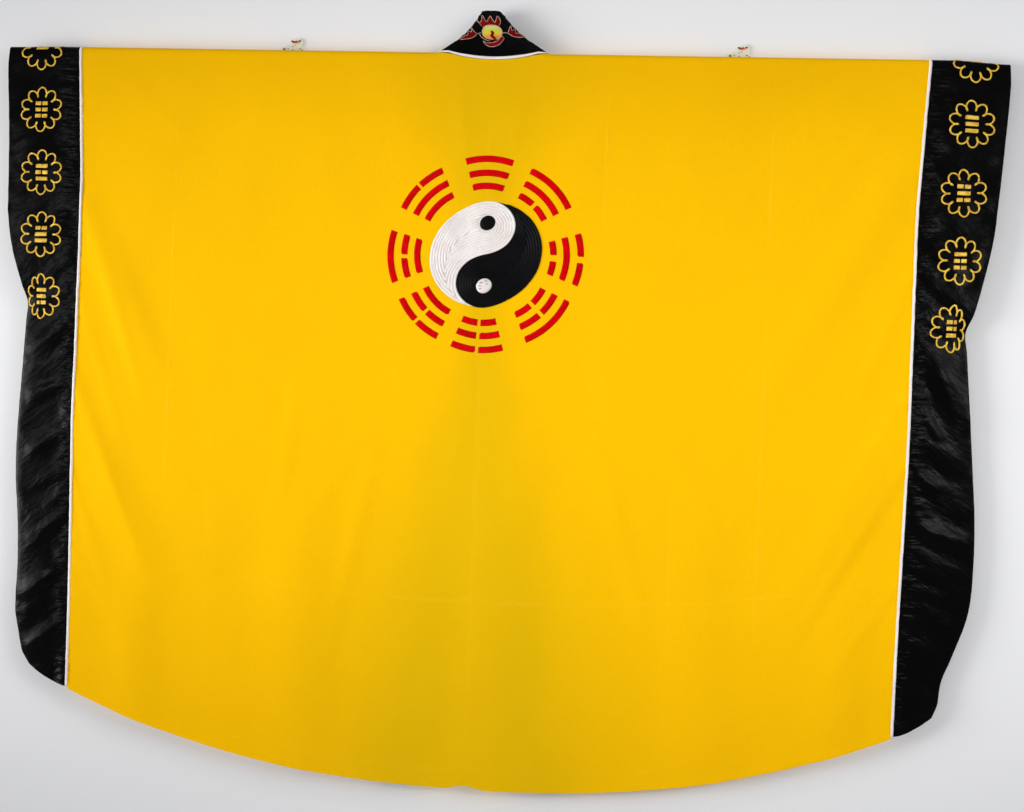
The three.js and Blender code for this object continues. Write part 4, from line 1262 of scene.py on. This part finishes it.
# Orange at the foot of the pearl, then yellow, then a pale green
def pearlFinish():
    finish = Finish("pearlThread", Specular_IOR_Level=0.5)
    place = finish.place()
    streak = finish.noise(place, 260, 2, 0.5, stretch=(0.15, 1, 1))
    tone = (finish.parts(place)[2] - pearl["foot"]) / pearl["reach"] + (streak - 0.5) * 0.35
    colour = finish.ramp(tone, (0.0, (0.70, 0.17, 0.01)), (0.30, (0.78, 0.31, 0.01)), (0.45, (0.74, 0.55, 0.02)),
                         (0.66, (0.55, 0.58, 0.06)), (1.0, (0.66, 0.70, 0.22)))
    return finish.wear(Base_Color=colour, Roughness=0.4 + 0.1 * streak, Normal=finish.bump(streak * 0.0004, 1.0, 0.8))


makeCollarWork()
print("collar embroidered")


rod = {"radius": 8, "length": 1600, "round": 2.5}


def makeRod():
    bm = bmesh.new()
    turned = Matrix.Translation((0, -cloth["rodFromWall"], 0)) @ Matrix.Rotation(math.pi / 2, 4, "Y")
    bmesh.ops.create_cone(bm, cap_ends=True, segments=40, radius1=rod["radius"], radius2=rod["radius"],
                          depth=rod["length"], matrix=turned)
    ends = [e for e in bm.edges if all(abs(vert.co.x) > rod["length"] / 2 - 1 for vert in e.verts)]
    bmesh.ops.bevel(bm, geom=ends, offset=rod["round"], segments=4, profile=0.5, affect="EDGES", material=-1)
    newPiece("roundRod", bm, finishes["wood"], ["rod"])


makeRod()


# Spots on a hook's plate as x from its middle, z, half width, half height and finish
spots = [
    (-0.5, 31.5, 2.0, 1.9, "brown"), (3.2, 30.2, 3.0, 2.4, "redEnamel"), (7.6, 30.8, 2.8, 2.2, "redEnamel"),
    (11.4, 29.2, 2.2, 1.8, "goldEnamel"), (13.2, 32.2, 2.3, 1.7, "brown"), (6.8, 28, 1.9, 1.1, "goldEnamel"),
    (-15, 17, 2.3, 2.5, "olive"), (-18.5, 11.2, 2.3, 2.0, "brown"), (-4.3, 11.4, 3.0, 2.8, "redEnamel"),
    (-4.3, 11.4, 1.4, 1.3, "brown"), (6.7, 11.4, 1.8, 1.7, "brown"), (13.2, 12.6, 2.0, 1.8, "brown"),
    (19.2, 11.6, 2.4, 2.0, "redEnamel"), (18.8, 15.2, 1.6, 1.6, "olive"), (-9.5, 10.6, 1.2, 1.1, "olive"),
    (1.2, 22.6, 1.3, 0.9, "olive"), (5.6, 24.6, 1.2, 0.8, "olive"), (14.3, 18.2, 1.7, 1.2, "olive"),
    (-7.6, 18.2, 1.4, 1.0, "olive"), (1.2, 16.4, 1.4, 0.9, "olive"), (-10.8, 14.6, 1.0, 1.0, "goldEnamel"),
]


def dressHooks():
    painted = {}
    for word, side in sides:
        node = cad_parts["hook_" + word]
        node.data.materials.clear()
        node.data.materials.append(finishes["enamel"])
        for dx, z, wide, tall, finish in spots:
            bm = painted.setdefault(finish, bmesh.new())
            middle = Matrix.Translation((side * hook[word] + dx, hook["plateFront"], z))
            shape = middle @ Matrix.Diagonal((wide, hook["spotDepth"], tall, 1))
            bmesh.ops.create_uvsphere(bm, u_segments=12, v_segments=7, radius=1, matrix=shape)
    for finish, bm in painted.items():
        newPiece("hookSpots" + finish[0].upper() + finish[1:], bm, finishes[finish], normals=False)


dressHooks()
print("rod and hooks done")


stage = {"floorZ": -1.62, "wallHalf": 1.75, "wallTop": 0.75, "floorHalf": 2.6, "colour": (0.86, 0.86, 0.87, 1)}


def stagePlane(name, corners, finish):
    bm = bmesh.new()
    bm.faces.new([bm.verts.new(corner) for corner in corners])
    mesh = bpy.data.meshes.new(name)
    bm.to_mesh(mesh)
    bm.free()
    plane = bpy.data.objects.new(name, mesh)
    bpy.context.scene.collection.objects.link(plane)
    mesh.materials.append(finish.material)
    return plane


def makeStage():
    paper, front = (Finish(name, Base_Color=stage["colour"], Roughness=0.9) for name in ("palePaper", "wallPaper"))
    clear = front.add("ShaderNodeBsdfTransparent")
    seenFrom = front.add("ShaderNodeNewGeometry", out="Backfacing")
    both = front.add("ShaderNodeMixShader", {}, {0: seenFrom, 1: Wire(front, front.shader.outputs[0]), 2: clear})
    front.tree.links.new(both.socket, front.tree.nodes["Material Output"].inputs["Surface"])
    half, top, low, wide = stage["wallHalf"], stage["wallTop"], stage["floorZ"], stage["floorHalf"]
    wallEnds = [(-half, low), (half, low), (half, top), (-half, top)]
    wall = stagePlane("paleWall", [(x, 0.001, z) for x, z in wallEnds], front)
    wall.visible_shadow = wall.visible_diffuse = wall.visible_glossy = False  # light from behind reaches the fronts
    floorEnds = [(-wide, -wide), (wide, -wide), (wide, wide), (-wide, wide)]
    floor = stagePlane("paleFloor", [(x, y, low) for x, y in floorEnds], paper)
    floor.visible_diffuse = False


# Place, aim, width and height, watts and spread in degrees
lights = {
    "keyLeft": ((-2.6, -1.51, -0.73), (1.0, 0, -0.33), (1.9, 1.2), 12.4, 57),
    "keyRight": ((2.67, -1.5, 0.1), (0.04, 0, -0.87), (1.9, 1.2), 4.2, 46.4),
    "overhead": ((0.3, -1.5, 1.0), (0.1, 0, -0.4), (1.4, 0.25), 3.0, 180),
    "sheenLeft": ((-2.3, -2.4, -0.1), (-0.85, 0, -0.85), (0.5, 0.3), 1.1, 70),
    "sheenRight": ((1.9, -2.4, -0.15), (0.85, 0, -0.85), (0.5, 0.3), 1.8, 70),
    "backLeft": ((-2.2, 2.6, 0.3), (0, 0, -0.6), (1.2, 1.6), 46, 180),
    "backRight": ((2.2, 2.6, 0.3), (0, 0, -0.6), (1.2, 1.6), 46, 180),
}
sky = {"colour": (0.93, 0.94, 0.96, 1), "strength": 0.4}


def makeLight():
    world = bpy.data.worlds.new("studio")
    bpy.context.scene.world = world
    world.use_nodes = True
    background = world.node_tree.nodes["Background"]
    background.inputs[0].default_value, background.inputs[1].default_value = sky["colour"], sky["strength"]
    for name, (place, aim, size, power, spread) in lights.items():
        data = bpy.data.lights.new(name, "AREA")
        data.spread = math.radians(spread)
        data.shape, data.size, data.size_y, data.energy = "RECTANGLE", size[0], size[1], power
        lamp = bpy.data.objects.new(name, data)
        bpy.context.scene.collection.objects.link(lamp)
        lamp.location = place
        lamp.rotation_euler = (Vector(aim) - Vector(place)).to_track_quat("-Z", "Y").to_euler()
        lamp.visible_camera = False


makeStage()
makeLight()
bpy.context.scene.view_settings.view_transform = "Standard"
print("stage lit")
